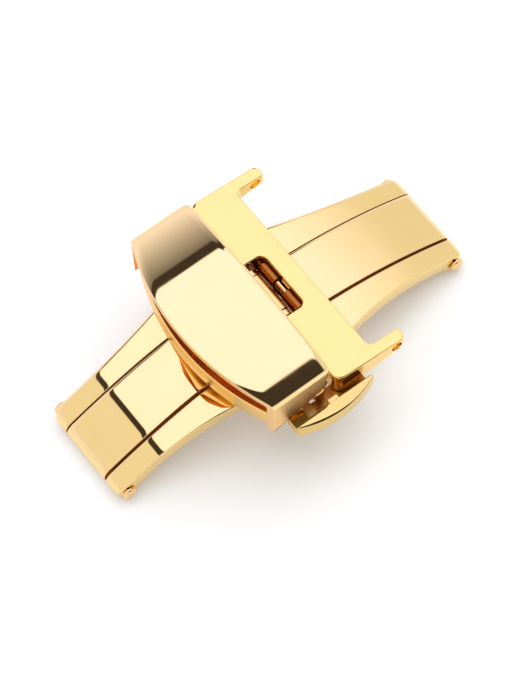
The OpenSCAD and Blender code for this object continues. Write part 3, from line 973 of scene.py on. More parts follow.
class Spot(Enum):
    """Places on a piece with a colour and roughness of their own: painted shade in the slots, in the notch,
    under the cover and low on the pad, and duller faces elsewhere.

    Each has one or more sets of ramps. The ramps of a set are multiplied, and the greatest set counts.
    """

    SLOT_WALLS = ((Ramp(Measure.FACE_SIDE, 0.75, 0.95), Ramp(Measure.REACH, 3.2, 3.0)),)
    EYES = (*SLOT_WALLS, (Ramp(Measure.Z, 6.1, 6.4), Ramp(Measure.X, 1.34, 1.38)))
    ROOF = ((Ramp(Measure.FACE_Z, -0.3, -0.6),), (Ramp(Measure.FACE_AWAY, -0.6, -0.9),))
    FLOOR = ((Ramp(Measure.FACE_Z, 0.85, 0.97), Ramp(Measure.X, -0.3, -0.4)),)
    FRONT = ((Ramp(Measure.FACE_X, -0.3, -0.6), Ramp(Measure.X, -4.0, -4.2), Ramp(Measure.Z, 6.8, 7.5, 0.75)),)
    UNDERSIDE = ((Ramp(Measure.FACE_Z, -0.5, -0.8),),)
    NOTCH = ((Ramp(Measure.Z, 8.4, 8.2), Ramp(Measure.REACH, 3.05, 2.98), Ramp(Measure.X, 3.4, 3.3)),)
    LEDGE = ((Ramp(Measure.Z, 6.3, 6.2), Ramp(Measure.REACH, 10.8, 10.7)),)
    TONGUE = ((Ramp(Measure.X, 1.34, 1.38),),)
    WALLS = ((Ramp(Measure.FACE_AWAY, 0.9, 0.99), Ramp(Measure.Z, 10.6, 10.3)),)


@dataclass(frozen=True)
class Patch:
    """A patch of a piece, of painted shade or of a duller face: where it is, its colour, roughness and grain.
    """

    where: Spot
    colour: Colour
    rough: float
    grain: float = 0.0

    def mask(self, tree: Tree) -> Socket:
        """Finds the patch by the place and the direction of the faces.

        Args:
            tree: The material's tree.

        Returns:
            The mask.
        """
        spot = add(tree, "ShaderNodeTexCoord")
        x, y, z = add(tree, "ShaderNodeSeparateXYZ", Vector=spot.outputs["Object"]).outputs
        face_x, face_y, face_z = add(tree, "ShaderNodeSeparateXYZ", Vector=spot.outputs["Normal"]).outputs
        y = math_node(tree, "SUBTRACT", y, MID_Y * MM)
        places = {Measure.X: x, Measure.REACH: math_node(tree, "ABSOLUTE", y), Measure.Z: z}
        measures = {
            **places, Measure.FACE_X: face_x, Measure.FACE_Z: face_z,
            Measure.FACE_SIDE: math_node(tree, "ABSOLUTE", face_y),
            Measure.FACE_AWAY: product(tree, math_node(tree, "SIGN", y), face_y),
        }
        sets = []
        for ramps in self.where.value:
            parts = []
            for ramp in ramps:
                unit = MM if ramp.measure in places else 1.0
                start, full = ramp.start * unit, ramp.full * unit
                parts.append(remap(tree, measures[ramp.measure], start, full, ramp.least))
            sets.append(product(tree, *parts))
        return greatest(tree, *sets)


@dataclass(frozen=True)
class MetalFinish:
    """A metal finish: tone, polish and marks, with its patches of painted shade and duller faces."""

    tone: Tone
    light: Colour
    deep: Colour
    amount: float = 0.25
    smooth: float = 0.012
    smudge: float = 0.022
    bump: float = 0.002
    across: float = 9000.0
    along: float = 260.0
    patches: tuple[Patch, ...] = ()
    grain_bump: float = 0.4

    def material(self, groups: dict[str, Tree]) -> bpy.types.Material:
        """Builds the material.

        Args:
            groups: The shared shader groups by name.

        Returns:
            The material.
        """
        made = bpy.data.materials.new(self.tone.value)
        made.use_nodes = True
        tree = made.node_tree
        shader = tree.nodes["Principled BSDF"]
        shader.inputs["Metallic"].default_value = 1.0
        tone = add(tree, "ShaderNodeGroup", {"node_tree": groups["tone"]}, Amount=self.amount)
        tone.inputs["Light"].default_value = (*self.light, 1)
        tone.inputs["Deep"].default_value = (*self.deep, 1)
        marks = add(
            tree, "ShaderNodeGroup", {"node_tree": groups["buffing"]},
            Smooth=self.smooth, Smudge=self.smudge, Across=self.across, Along=self.along,
        )
        colour, rough, height = tone.outputs["Color"], marks.outputs["Roughness"], marks.outputs["Height"]
        bump = add(tree, "ShaderNodeBump", Height=height, Strength=self.bump, Distance=BUMP_DEPTH)
        for patch in self.patches:
            mask = patch.mask(tree)
            grain = add(tree, "ShaderNodeGroup", {"node_tree": groups["grain"]})
            pits = product(tree, grain.outputs["Mask"], patch.grain)
            share = product(tree, mask, math_node(tree, "ADD", 1 - patch.grain, pits))
            colour = mix_colour(tree, share, colour, (*patch.colour, 1))
            rough = math_node(tree, "ADD", rough, product(tree, mask, patch.rough))
            if patch.grain:
                bump = add(
                    tree, "ShaderNodeBump", Height=grain.outputs["Height"], Normal=bump.outputs[0],
                    Strength=product(tree, mask, self.grain_bump * patch.grain), Distance=BUMP_DEPTH,
                )
        tree.links.new(colour, shader.inputs["Base Color"])
        tree.links.new(rough, shader.inputs["Roughness"])
        tree.links.new(bump.outputs[0], shader.inputs["Normal"])
        return made


class Wardrobe:
    """All finishes of the clasp, painted shade in their patches included, and the dressing of pieces in them.
    """

    # Painted shade: the side walls of the slots between rails and leaves are painted warm brown and rough, for
    # the shade deep in the seams.
    SLOT_SHADE_PATCH = Patch(Spot.SLOT_WALLS, (0.82, 0.44, 0.16), 0.5)
    # Painted shade: the hinge eyes, the tongue and the walls of the lug plate's notch are painted dark brown,
    # for the shade inside the notch.
    NOTCH_SHADE_BROWN = (0.46, 0.17, 0.03)
    FINISHES = (
        MetalFinish(Tone.POLISHED, (0.97, 0.71, 0.31), (0.94, 0.65, 0.24), patches=(SLOT_SHADE_PATCH,)),
        MetalFinish(
            Tone.LEAF, (0.97, 0.71, 0.32), (0.93, 0.64, 0.24),
            # Painted shade on the slot walls, and dark brown painted shade on the hinge eyes in the notch.
            patches=(SLOT_SHADE_PATCH, Patch(Spot.EYES, NOTCH_SHADE_BROWN, 0.25)),
        ),
        MetalFinish(
            Tone.HEAD, (0.96, 0.68, 0.27), (0.93, 0.60, 0.19),
            patches=(
                Patch(Spot.UNDERSIDE, (0.98, 0.62, 0.16), 0.35),
                # Painted shade: the upward faces of the block under the cover are painted dark orange.
                Patch(Spot.FLOOR, (0.93, 0.47, 0.13), 0.2),
                # Painted shade: the part of the tongue inside the notch is painted dark brown.
                Patch(Spot.TONGUE, NOTCH_SHADE_BROWN, 0.25),
                Patch(Spot.FRONT, (0.93, 0.62, 0.19), 0.35, 0.7),
            ),
        ),
        MetalFinish(
            Tone.COVER, (0.97, 0.72, 0.34), (0.95, 0.68, 0.29), patches=(
                # Painted shade: the downward and inward faces of the cover are painted dark orange-red.
                Patch(Spot.ROOF, (0.90, 0.42, 0.10), 0.25), Patch(Spot.FRONT, (0.90, 0.56, 0.24), 0.35, 0.5),
                Patch(Spot.WALLS, (0.93, 0.62, 0.27), 0.38, 0.3),
            ),
        ),
        MetalFinish(
            # Painted shade: the walls of the notch are painted dark brown.
            Tone.PLATE, (0.97, 0.69, 0.235), (0.94, 0.64, 0.19), patches=(Patch(Spot.NOTCH, NOTCH_SHADE_BROWN, 0.3),),
        ),
        MetalFinish(
            Tone.BUTTON, (0.81, 0.58, 0.19), (0.77, 0.49, 0.135),
            # Painted shade: below a height of about 6.2 mm the pad and its ledge are painted dark brown.
            patches=(Patch(Spot.LEDGE, (0.62, 0.30, 0.07), 0.3),),
        ),
        MetalFinish(Tone.PIN, (0.95, 0.66, 0.30), (0.86, 0.52, 0.20), smooth=0.1, smudge=0.08),
        MetalFinish(Tone.SATIN, (0.95, 0.66, 0.26), (0.86, 0.50, 0.15), smooth=0.4, smudge=0.08),
        MetalFinish(
            Tone.WIRE, (0.66, 0.66, 0.68), (0.5, 0.5, 0.53), smooth=0.18, smudge=0.08, bump=0.03,
        ),
    )

    def __init__(self) -> None:
        """Makes every material."""
        groups = {"tone": tone_group(), "buffing": buffing_group(), "grain": grain_group()}
        self.materials = {finish.tone: finish.material(groups) for finish in self.FINISHES}

    def dress(self, obj: Object, tone: Tone) -> None:
        """Gives a whole object one finish.

        Args:
            obj: The object.
            tone: The finish.
        """
        obj.data.materials.clear()
        obj.data.materials.append(self.materials[tone])
        for face in obj.data.polygons:
            face.material_index = 0

    def fit(self, obj: Object, tone: Tone, body: str, *nodes: str) -> None:
        """Dresses a new piece, lets it ride on a body and stand for the nodes of the frame.

        Args:
            obj: The piece.
            tone: Its finish.
            body: The body that it moves with.
            nodes: The nodes that it replaces.
        """
        self.dress(obj, tone)
        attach(obj, body)
        if nodes:
            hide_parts(*nodes)
        log.info("%s: %d faces on %s", obj.name, len(obj.data.polygons), body)

    def keep(self, node: str, tone: Tone) -> None:
        """Gives a node of the frame a finish, and leaves its shape alone.

        Args:
            node: The node.
            tone: The finish.
        """
        for slot in frame["nodes"][node].material_slots:
            slot.material = self.materials[tone]
        log.info("%s: node kept, %s", node, tone.value)


# ---------------------------------------------------------------- pieces


@dataclass
class Arch:
    """The curve that both wings share, and the round ends of the clasp."""

    top_z: float = 6.0
    top_r: float = 41.0
    under_z: float = 4.75
    under_r: float = 36.0
    end_x: float = 17.45
    end_r: float = 0.9967
    dip_x: tuple[float, float] = (8.75, 5.4)
    dip_ends: tuple[float, float] = (0.4, 1.4)
    dip_steps: int = 200
    dip_share: tuple[tuple[float, float], ...] = ((-2.9, 0.0), (2.6, 0.85), (2.9, 0.75), (5.6, 0.1))
    close_x: tuple[float, float] = (9.1, 5.3)
    close_gap: float = 0.02

    @property
    def centre_z(self) -> float:
        """Height of the centre of the curved top."""
        return self.top_z - self.top_r

    def dip(self, x: Array) -> Array:
        """How far the top lies below its arc next to the head block, where it is flat.

        Args:
            x: Distances from the middle of the clasp.

        Returns:
            One depth a distance.
        """
        (start, stop), (fade, back) = self.dip_x, self.dip_ends
        grid = np.linspace(start, stop, self.dip_steps)
        slope = grid / np.sqrt(self.top_r**2 - grid**2)
        rise = np.cumsum(slope * eased((start - grid) / fade)) * (start - stop) / self.dip_steps
        depth = rise * eased((grid - stop) / back)
        return np.interp(x, grid[::-1], depth[::-1], left=0, right=0)

    def dipped(self, near: float) -> Place:
        """Places a side view of the left wing, with the dip beside the head block.

        Args:
            near: Sign of Y on the near side of the piece as it is drawn.

        Returns:
            The placing function.
        """
        def place(p: Array) -> Array:
            """Lowers the points by the dip and stands the side view up."""
            drop = self.dip(-p[:, 0]) * np.interp(near * p[:, 2], *zip(*self.dip_share))
            return across(p - np.column_stack([0 * drop, drop, 0 * drop]))

        return place

    def side(
        self, inner_x: float, end_r: float, thickness: float | None, close: bool = False
    ) -> tuple[Array, Array]:
        """Side view of one wing, from its end pin in to a given place.

        Args:
            inner_x: Where the wing stops, which may lie past the middle.
            end_r: Radius of its round end.
            thickness: Thickness of the strip, or None for the rail's own underside.
            close: Whether the top has more points next to the head block.

        Returns:
            The outline in X and Z on the +X half, counter-clockwise: the top, then the rest.
        """
        under_r, under_c = self.under_r, self.under_z - self.under_r
        if thickness is not None:
            under_r, under_c = self.top_r - thickness, self.centre_z
        reach = self.end_x / (self.top_r - self.end_r)
        tangent = math.degrees(math.acos(reach))
        x_low = self._meeting(end_r, under_r, under_c)
        z_low = under_c + math.sqrt(under_r**2 - x_low**2)
        low_angle = math.degrees(math.atan2(z_low - self.end_r, x_low - self.end_x))
        low_angle -= 360 if low_angle > 0 else 0
        top = arc(0, self.centre_z, self.top_r, tangent, math.degrees(math.acos(inner_x / self.top_r)), 70)
        a0 = math.degrees(math.acos(inner_x / under_r))
        a1 = math.degrees(math.acos(x_low / under_r))
        under = arc(0, under_c, under_r, a0, a1, 70)
        end = arc(self.end_x, self.end_r, end_r, low_angle, tangent, 40)
        if close:
            first, last = self.close_x
            angles = (math.degrees(math.acos(x / self.top_r)) for x in self.close_x)
            extra = arc(0, self.centre_z, self.top_r, *angles, 60)
            before, after = top[:, 0] > first + self.close_gap, top[:, 0] < last - self.close_gap
            top = np.vstack([top[before], extra, top[after]])
        return top, np.vstack([under, end[1:-1]])

    def _meeting(self, end_r: float, under_r: float, under_c: float) -> float:
        """Where the underside runs into the round end.

        Args:
            end_r: Radius of the round end.
            under_r: Radius of the underside.
            under_c: Height of the underside's centre.

        Returns:
            The distance from the middle of the clasp.
        """
        x = np.linspace(self.end_x - end_r * 0.9999, self.end_x, 4000)
        ring = self.end_r - np.sqrt(end_r**2 - (x - self.end_x) ** 2)
        under = under_c + np.sqrt(under_r**2 - x**2)
        if under[0] > self.end_r:
            ring = self.end_r + np.sqrt(end_r**2 - (x - self.end_x) ** 2)
            ring[x > self.end_x - end_r * 0.05] = np.inf
        return float(x[np.argmin(np.abs(ring - under))])


@dataclass
class BaseFrame:
    """Two curved rails joined by a low bridge, with the pins and studs fixed in them."""

    arch: Arch = field(default_factory=Arch)
    slot_half: float = 2.87
    end_half: float = 4.75
    hub_half: float = 6.4
    waist_x: float = 16.0
    waist_r: float = 46.0
    corner_r: float = 0.9
    bridge: tuple[float, float, float, float] = (1.5, 3.87, 4.15, 4.85)
    foot_in: float = 0.3
    bridge_r: float = 0.08
    side_grid: float = 0.35

    def outer(self, x: Array) -> Array:
        """Distance of the rails' outer edge from the middle of the strap.

        Args:
            x: Places along the strap.

        Returns:
            One distance a place.
        """
        reach = np.abs(x)
        hollow = self.end_half + self.waist_r - np.sqrt(self.waist_r**2 - (reach - self.waist_x) ** 2)
        y = np.minimum(hollow, self.hub_half)
        corner_x = self.arch.end_x + self.arch.end_r - self.corner_r
        past = np.clip(reach - corner_x, 0, self.corner_r * 0.999)
        return y - self.corner_r + np.sqrt(self.corner_r**2 - past**2)

    def rail(self, place: Place) -> Skin:
        """Makes the far rail.

        Args:
            place: Where its side view lies.

        Returns:
            Its skin.
        """
        top, rest = self.arch.side(0.0, self.arch.end_r, None)
        left = self.arch.side(0.0, self.arch.end_r, None, close=True)
        left_top, left_rest = (half * [-1, 1] for half in left)
        plan = np.vstack([top, left_top[::-1][1:], left_rest[::-1][:-1], rest])
        return Solid(
            plan, level(self.slot_half), lambda x, z: self.outer(x), Edge(radius=0.12, lip_w=0.5, lip_h=0.02),
            low_edge=Edge(radius=0.06, lip_w=0.3, lip_h=0.008), grid=self.side_grid, place=place,
        ).skin()

    def bridge_skin(self) -> Skin:
        """Makes the bridge under the leaves, with a foot under each rail.

        Returns:
            Its skin.
        """
        half_x, foot_y, low_z, top_z = self.bridge
        foot_z = self.arch.under_z + self.foot_in
        r = self.bridge_r
        plan = rounded([
            (-foot_y, low_z, r), (foot_y, low_z, r), (foot_y, foot_z, r), (self.slot_half, foot_z, 0),
            (self.slot_half, top_z, r), (-self.slot_half, top_z, r), (-self.slot_half, foot_z, 0),
            (-foot_y, foot_z, r),
        ])
        return Solid(plan, level(-half_x), level(half_x), Edge(radius=0.06), place=along).skin()

    def build(self, wardrobe: Wardrobe) -> None:
        """Makes the frame.

        Args:
            wardrobe: The finishes.
        """
        near_rail = mirrored(self.rail(self.arch.dipped(Side.FAR.value)))
        skin = self.rail(across).joined(near_rail).joined(self.bridge_skin())
        wardrobe.fit(make_object("rails_and_bridge", skin), Tone.POLISHED, "base", "base_frame")


@dataclass
class Leaf:
    """A folding leaf: the middle strip of a wing, with a rolled eye at its inner end."""

    node: str
    flip: bool
    inner_x: float
    eye: tuple[float, float, float]
    cheek_in: float
    near_half: float = 2.6
    far_half: float = 2.73
    thickness: float = 0.9
    end_gap: float = 0.02
    pin_r: float = 0.43
    neck_half: float = 0.5
    arch: Arch = field(default_factory=Arch)

    def build(self, wardrobe: Wardrobe) -> None:
        """Makes the leaf.

        Args:
            wardrobe: The finishes.
        """
        arch = self.arch
        plan = np.vstack(arch.side(self.inner_x, arch.end_r - self.end_gap, self.thickness, self.flip))
        bore = hole(arch.end_x, arch.end_r, self.pin_r)
        eye_x, eye_z, eye_r = self.eye
        if self.flip:
            plan = (plan * [-1, 1])[::-1]
            bore = (bore * [-1, 1])[::-1]
        strip = Solid(
            plan, level(-self.near_half), level(self.far_half), Edge(radius=0.07, lip_w=0.5, lip_h=0.02),
            holes=[bore], place=arch.dipped(Side.NEAR.value) if self.flip else across,
        ).skin()
        foot_z = arch.top_z - self.thickness / 2
        neck = self.neck_half
        lift = math.degrees(math.asin(min(1.0, neck / eye_r)))
        eye_plan = np.vstack([
            [[eye_x - neck, foot_z], [eye_x + neck, foot_z]],
            arc(eye_x, eye_z, eye_r, -90 + lift, 270 - lift, 40),
        ])
        cheek = Solid(
            eye_plan, level(self.cheek_in), level(self.near_half), Edge(radius=0.06), place=across,
        ).skin()
        skin = strip.joined(cheek).joined(mirrored(cheek))
        wardrobe.fit(make_object(f"{self.node}_polished", skin), Tone.LEAF, self.node, self.node)


@dataclass
class HeadBlock:
    """The floor of the head: a thick plate with a bowed front, and a tongue with the hinge eye."""

    low_z: float = 6.15
    high_z: float = 8.2
    half: float = 9.05
    front_r: float = 20.6
    front_x: float = 7.9
    rear_x: float = 0.15
    corner_r: float = 0.25
    hinge: tuple[float, float] = (0.9, 7.35)
    tongue_r: float = 0.65
    tongue_half: float = 1.95
    pin_r: float = 0.38
    slide_high: float = 6.8
    stud_high: float = 7.3
    channel_high: float = 7.95
    cover_pin: tuple[float, float, float, float] = (-1.1, 7.0, 0.355, 0.95)
    peg: tuple[float, float] = (-5.6, 0.51)
    rear_r: float = 0.12
    root_x: float = -0.5
    stud_y: float = 4.6
    # Rooms in the underside: from X to X, and how far they reach in Y
    slide_room: tuple[float, float, float] = (-3.05, -2.05, 8.8)
    spring_room: tuple[float, float, float] = (-4.85, -3.55, -5.3)
    window_room: tuple[float, float, float] = (-3.23, -0.67, 1.48)
    stud_room: tuple[float, float, float] = (-2.73, -1.17, 0.55)
    tail_room: tuple[float, float, float, float] = (-4.2, -7.5, -2.55, -6.35)

    def plan(self) -> Array:
        """Draws the plan of the block.

        Returns:
            The outline, counter-clockwise.
        """
        bow_x = self.front_r - self.front_x
        r = self.corner_r
        side_y = self.half - r
        corner_x = bow_x - math.sqrt((self.front_r - r) ** 2 - side_y**2)
        turn = math.degrees(math.atan2(side_y, corner_x - bow_x))
        rear = self.rear_r
        return np.vstack([
            arc(-self.rear_x - rear, self.half - rear, rear, 0, 90, 6),
            arc(corner_x, side_y, r, 90, turn, 8),
            arc(bow_x, 0, self.front_r, turn, 360 - turn, 90)[1:-1],
            arc(corner_x, -side_y, r, 360 - turn, 270, 8),
            arc(-self.rear_x - rear, -self.half + rear, rear, -90, 0, 6),
        ])

    def tongue(self) -> Skin:
        """Makes the tongue that reaches into the notch of the lug plate.

        Returns:
            Its skin.
        """
        x, z = self.hinge
        r = self.tongue_r
        plan = np.vstack([arc(x, z, r, -90, 90, 30), [[self.root_x, z + r], [self.root_x, z - r]]])
        half = self.tongue_half
        return Solid(
            plan, level(-half), level(half), Edge(radius=0.08), holes=[hole(x, z, self.pin_r)], place=across,
        ).skin()

    def pockets(self) -> list[Skin]:
        """Rooms in the underside for the catch slide, the studs and the spring.

        Returns:
            One cutter a room.
        """
        out = -self.half - 1
        (slide_0, slide_1, slide_y), (spring_0, spring_1, spring_y) = self.slide_room, self.spring_room
        boxes = [
            (slide_0, out, slide_1, slide_y, self.slide_high), (*self.tail_room, self.slide_high),
            (spring_0, out, spring_1, spring_y, self.channel_high),
        ]
        rooms = ((self.window_room, self.slide_high), (self.stud_room, self.stud_high))
        for y in (-self.stud_y, self.stud_y):
            boxes += [(x0, y - reach, x1, y + reach, high) for (x0, x1, reach), high in rooms]
        cutters = []
        for x0, y0, x1, y1, high in boxes:
            plan = np.array([(x0, y0), (x1, y0), (x1, y1), (x0, y1)], float)
            cutters.append(Solid(plan, level(BELOW), level(high), SHARP).skin())
        return cutters

    def bores(self) -> list[Skin]:
        """Makes the holes for the cover's pins and the strap peg.

        Returns:
            One cutter each.
        """
        (x, z, r, depth), (peg_x, peg_r) = self.cover_pin, self.peg
        ends = ((self.half - depth, PAST), (-PAST, depth - self.half))
        return [*(rod(x, z, r, low, high, across) for low, high in ends), rod(peg_x, 0, peg_r, BELOW, PAST)]

    def build(self, wardrobe: Wardrobe) -> None:
        """Makes the head block.

        Args:
            wardrobe: The finishes.
        """
        block = make_object("head_block_polished", Solid(
            self.plan(), level(self.low_z), level(self.high_z), Edge(radius=0.12),
        ).skin())
        carve(block, [*self.pockets(), *self.bores()])
        wardrobe.fit(block, Tone.HEAD, "head", "head_block")
        wardrobe.fit(make_object("head_tongue_polished", self.tongue()), Tone.HEAD, "head")


@dataclass
class Cover:
    """The arched cover: a bent sheet over the head, with an ear inside each wall."""

    half: float = 9.85
    inner: float = 9.2
    top_z: float = 11.8
    sheet: float = 0.65
    crown_r: float = 62.0
    bend_r: float = 0.8
    inner_bend_r: float = 0.25
    front_r: float = 22.2
    front_x: float = 8.2
    rear_x: float = 0.1
    wall_rear_x: float = 0.32
    shoulder: tuple[float, float] = (9.25, 9.69)
    wall_z: float = 6.3
    hinge_z: float = 9.0
    rise: float = 19.5
    ear: tuple[float, float, float] = (-1.1, 7.0, 0.72)
    ear_out: float = 9.5
    ear_in: float = 0.2
    pin_r: float = 0.38

    def skin_line(self, half: float, top: float, crown: float, bend: float, points: int) -> Array:
        """Section of one face of the sheet, from the near wall's foot over the crown to the far one.

        Args:
            half: Distance of its walls from the middle.
            top: Height of its crown.
            crown: Radius of its crown.
            bend: Radius of its bends.
            points: Number of points on each bend.

        Returns:
            The points in Y and Z.
        """
        centre = top - crown
        bend_y = half - bend
        bend_z = centre + math.sqrt((crown - bend) ** 2 - bend_y**2)
        lean = math.degrees(math.asin(bend_y / (crown - bend)))
        near = arc(-bend_y, bend_z, bend, 180, 90 + lean, points)
        crown_line = arc(0, centre, crown, 90 + lean, 90 - lean, 90)
        far = arc(bend_y, bend_z, bend, 90 - lean, 0, points)
        wall = np.linspace(self.wall_z, bend_z, 14)[:-1]
        near_wall = np.column_stack([np.full_like(wall, -half), wall])
        return np.vstack([near_wall, near, crown_line[1:-1], far, near_wall[::-1] * [-1, 1]])

    def section(self) -> tuple[Array, Array]:
        """Joins both faces of the sheet.

        Returns:
            The closed section, counter-clockwise, and which of its points lie on the outside.
        """
        outer = self.skin_line(self.half, self.top_z, self.crown_r, self.bend_r, 18)
        inner = self.skin_line(
            self.inner, self.top_z - self.sheet, self.crown_r - self.sheet, self.inner_bend_r, 8
        )
        plan = np.vstack([outer[::-1], inner])
        share = np.concatenate([np.ones(len(outer)), np.zeros(len(inner))])
        return plan, share

    def front(self, y: Array, z: Array) -> Array:
        """The bowed front edge."""
        return self.front_r - self.front_x - np.sqrt(self.front_r**2 - y**2)

    def rear(self, y: Array, z: Array) -> Array:
        """The straight rear edge, set back on the walls.

        Args:
            y, z: Places on the section; y is not used.

        Returns:
            One X a place.
        """
        low, high = self.shoulder
        share = np.clip((z - low) / (high - low), 0, 1)
        return -self.wall_rear_x + (self.wall_rear_x - self.rear_x) * share

    def raised(self, p: Array) -> Array:
        """Puts the cover in place, with the sloping lower edge of its walls.

        Args:
            p: Points as drawn, with the section in Y and Z and X as their height.

        Returns:
            The placed points.
        """
        x, y, z = p[:, 2], p[:, 0], p[:, 1]
        start = self.front(np.array([self.half]), None)[0]
        foot = self.wall_z + np.maximum(0, x - start) * math.tan(math.radians(self.rise))
        under = np.clip((self.hinge_z - z) / (self.hinge_z - self.wall_z), 0, None)
        z = np.where(z < self.hinge_z, self.hinge_z - under * (self.hinge_z - foot), z)
        return np.column_stack([x, y, z])

    def ear_skin(self) -> Skin:
        """Makes the far ear.

        Returns:
            Its skin.
        """
        x, z, r = self.ear
        top = self.hinge_z + self.ear_in
        plan = np.vstack([arc(x, z, r, 180, 360, 30), [[x + r, top], [x - r, top]]])
        return Solid(
            plan, level(self.inner), level(self.ear_out), Edge(radius=0.05), holes=[hole(x, z, self.pin_r)],
            place=across,
        ).skin()

    def build(self, wardrobe: Wardrobe) -> None:
        """Makes the cover.

        Args:
            wardrobe: The finishes.
        """
        plan, share = self.section()
        sheet = Solid(
            plan, self.front, self.rear,
            Edge(radius=0.36, steps=8, lip_w=0.5, lip_h=0.03),
            low_edge=Edge(radius=0.08, lip_w=0.8, lip_h=0.03),
            share=share, place=self.raised,
        ).skin()
        ear = self.ear_skin()
        skin = sheet.joined(ear).joined(mirrored(ear))
        wardrobe.fit(make_object("cover_polished", skin), Tone.COVER, "cover", "cover")


@dataclass
class LugPlate:
    """The plate with two lugs for the spring bar, and the notch for the hinge."""

    front_x: float = 0.25
    rear_x: float = 4.45
    tip_x: float = 7.5
    half: float = 10.3
    lug_in: float = 9.15
    top_z: float = 8.75
    low_z: float = 6.15
    top_tilt: float = 5.7
    under_tilt: float = 5.3
    notch: tuple[float, float, float] = (2.65, 2.95, 0.7)
    bar: tuple[float, float] = (6.5, 0.5)
    hinge: tuple[float, float, float] = (2.4, 7.15, 0.75)
    pin: tuple[float, float] = (0.36, 4.35)
    seat: tuple[float, float, float, float] = (2.4, 5.4, 0.63, 6.87)
    skim: float = 0.01

    def high(self, x: Array, y: Array | None = None) -> Array:
        """Height of the sloping top."""
        return self.top_z - (x - self.front_x) * math.tan(math.radians(self.top_tilt))

    def low(self, x: Array, y: Array | None = None) -> Array:
        """Height of the sloping underside."""
        return self.low_z + (x - self.front_x) * math.tan(math.radians(self.under_tilt))

    def plan(self) -> Array:
        """Draws the plan of the plate.

        Returns:
            The outline, counter-clockwise.
        """
        notch_x, notch_y, notch_r = self.notch
        lug_half = [
            (self.tip_x, self.half, 0.55), (self.front_x, self.half, 0.9),
            (self.front_x, notch_y, 0.2), (notch_x, notch_y, notch_r),
        ]
        root = [(self.rear_x, self.lug_in, 0.6), (self.tip_x, self.lug_in, 0.27)]
        far = root + lug_half
        near = [(x, -y, r) for x, y, r in reversed(far)]
        return rounded(far + near, 8)

    def build(self, wardrobe: Wardrobe) -> None:
        """Makes the lug plate.

        Args:
            wardrobe: The finishes.
        """
        skin = Solid(self.plan(), self.low, self.high, Edge(radius=0.11)).skin()
        obj = make_object("lug_plate_polished", skin)
        bar_x, bar_r = self.bar
        bar_z = (self.high(bar_x) + self.low(bar_x)) / 2
        x, z, r = self.hinge
        notch_y = self.notch[1]
        pin_r, pin_y = self.pin
        cavity = np.vstack([arc(x, z, r, 0, 180, 24), [[x - r, BELOW], [x + r, BELOW]]])
        seat_x, seat_y, seat_r, seat_z = self.seat
        cutters = [
            rod(bar_x, bar_z, bar_r, -PAST, PAST, across, 48),
            Solid(cavity, level(-notch_y + self.skim), level(notch_y - self.skim), SHARP, place=across).skin(),
            rod(x, z, pin_r, -pin_y, pin_y, across),
            *(rod(seat_x, side.value * seat_y, seat_r, BELOW, seat_z) for side in Side),
        ]
        carve(obj, cutters)
        wardrobe.fit(obj, Tone.PLATE, "lug_plate", "lug_plate")


@dataclass
class PushPad:
    """The push button's pad: straight inside, bowed outside, with a boss and an arm."""

    mid_x: float = -0.5
    length: float = 7.9
    inner: float = 10.85
    outer: float = 12.0
    end_w: float = 0.25
    low_z: float = 5.65
    high_z: float = 7.15
    boss: tuple[float, float, float] = (-0.975, -0.025, 0.35)
    arm: tuple[float, float, float] = (0.01, 1.45, 1.2)
    arm_z: float = 6.65
    ledge: tuple[float, float, float, float, float, float] = (-3.1, -0.8, 3.1, 1.35, 1.75, 6.03)
    foot_in: float = 0.2

    def plan(self) -> tuple[Array, Array]:
        """Draws the pad on the near side.

        Returns:
            The outline, and how much of the brow each point has.
        """
        width = self.outer - self.inner
        sag = width - self.end_w
        r = ((self.length / 2) ** 2 + sag**2) / (2 * sag)
        lean = math.degrees(math.asin(self.length / 2 / r))
        bow = arc(self.mid_x, -(self.outer - r), r, -90 - lean, -90 + lean, 70)
        left, right = self.mid_x - self.length / 2, self.mid_x + self.length / 2
        inner = np.column_stack([np.linspace(right - 0.05, left + 0.05, 30), np.full(30, -self.inner)])
        share = np.clip((-bow[:, 1] - self.inner - 0.12) / (width - 0.12), 0.02, 1)
        share = share * np.interp(bow[:, 0], [-3.0, 0.8], [1.0, 0.15])
        return np.vstack([bow, inner]), np.concatenate([share, np.full(30, 0.05)])

    def inward(self, corners: Sequence[tuple[float, float, float]], low: float, high: float) -> Skin:
        """Makes a block that reaches inward from the pad.

        Args:
            corners: X, distance inward from the pad's inner face, and radius of each corner.
            low, high: Its heights.

        Returns:
            Its skin.
        """
        plan = rounded([(x, y - self.inner, r) for x, y, r in corners])
        return Solid(plan, level(low), level(high), Edge(radius=0.04)).skin()

    def build(self, wardrobe: Wardrobe) -> None:
        """Makes the pad.

        Args:
            wardrobe: The finishes.
        """
        plan, share = self.plan()
        pad = Solid(
            plan, level(self.low_z), level(self.high_z),
            Edge(radius=0.06, brow_w=0.28, brow_h=0.05), low_edge=Edge(radius=0.06), share=share,
        ).skin()
        left, foot = self.mid_x - self.length / 2, self.low_z + self.foot_in
        x0, x1, reach = self.boss
        plan = [(x0, -0.1, 0), (x1, -0.1, 0), (x1, reach, 0.05), (x0, reach, 0.05)]
        boss = self.inward(plan, foot, self.high_z - 0.01)
        x0, x1, reach = self.arm
        x0, x1 = left + x0, left + x1
        plan = [(x0, -0.02, 0), (x1, -0.02, 0), (x1, reach, 0.08), (x0, reach, 0.08)]
        arm = self.inward(plan, foot, self.arm_z)
        x0, step_x, x1, reach, deep, ledge_z = self.ledge
        plan = [
            (x0, -0.1, 0), (x1, -0.1, 0), (x1, deep, 0.5), (step_x, deep, 0.2),
            (step_x, reach, 0.1), (x0, reach, 0.1),
        ]
        ledge = self.inward(plan, self.low_z + 0.02, ledge_z)
        skin = pad.joined(boss).joined(arm).joined(ledge)
        wardrobe.fit(make_object("push_pad_polished", skin), Tone.BUTTON, "button", "push_pad")


class Axis(Enum):
    """The way that a turned piece points."""

    ACROSS = "across the strap"
    UP = "away from the wrist"


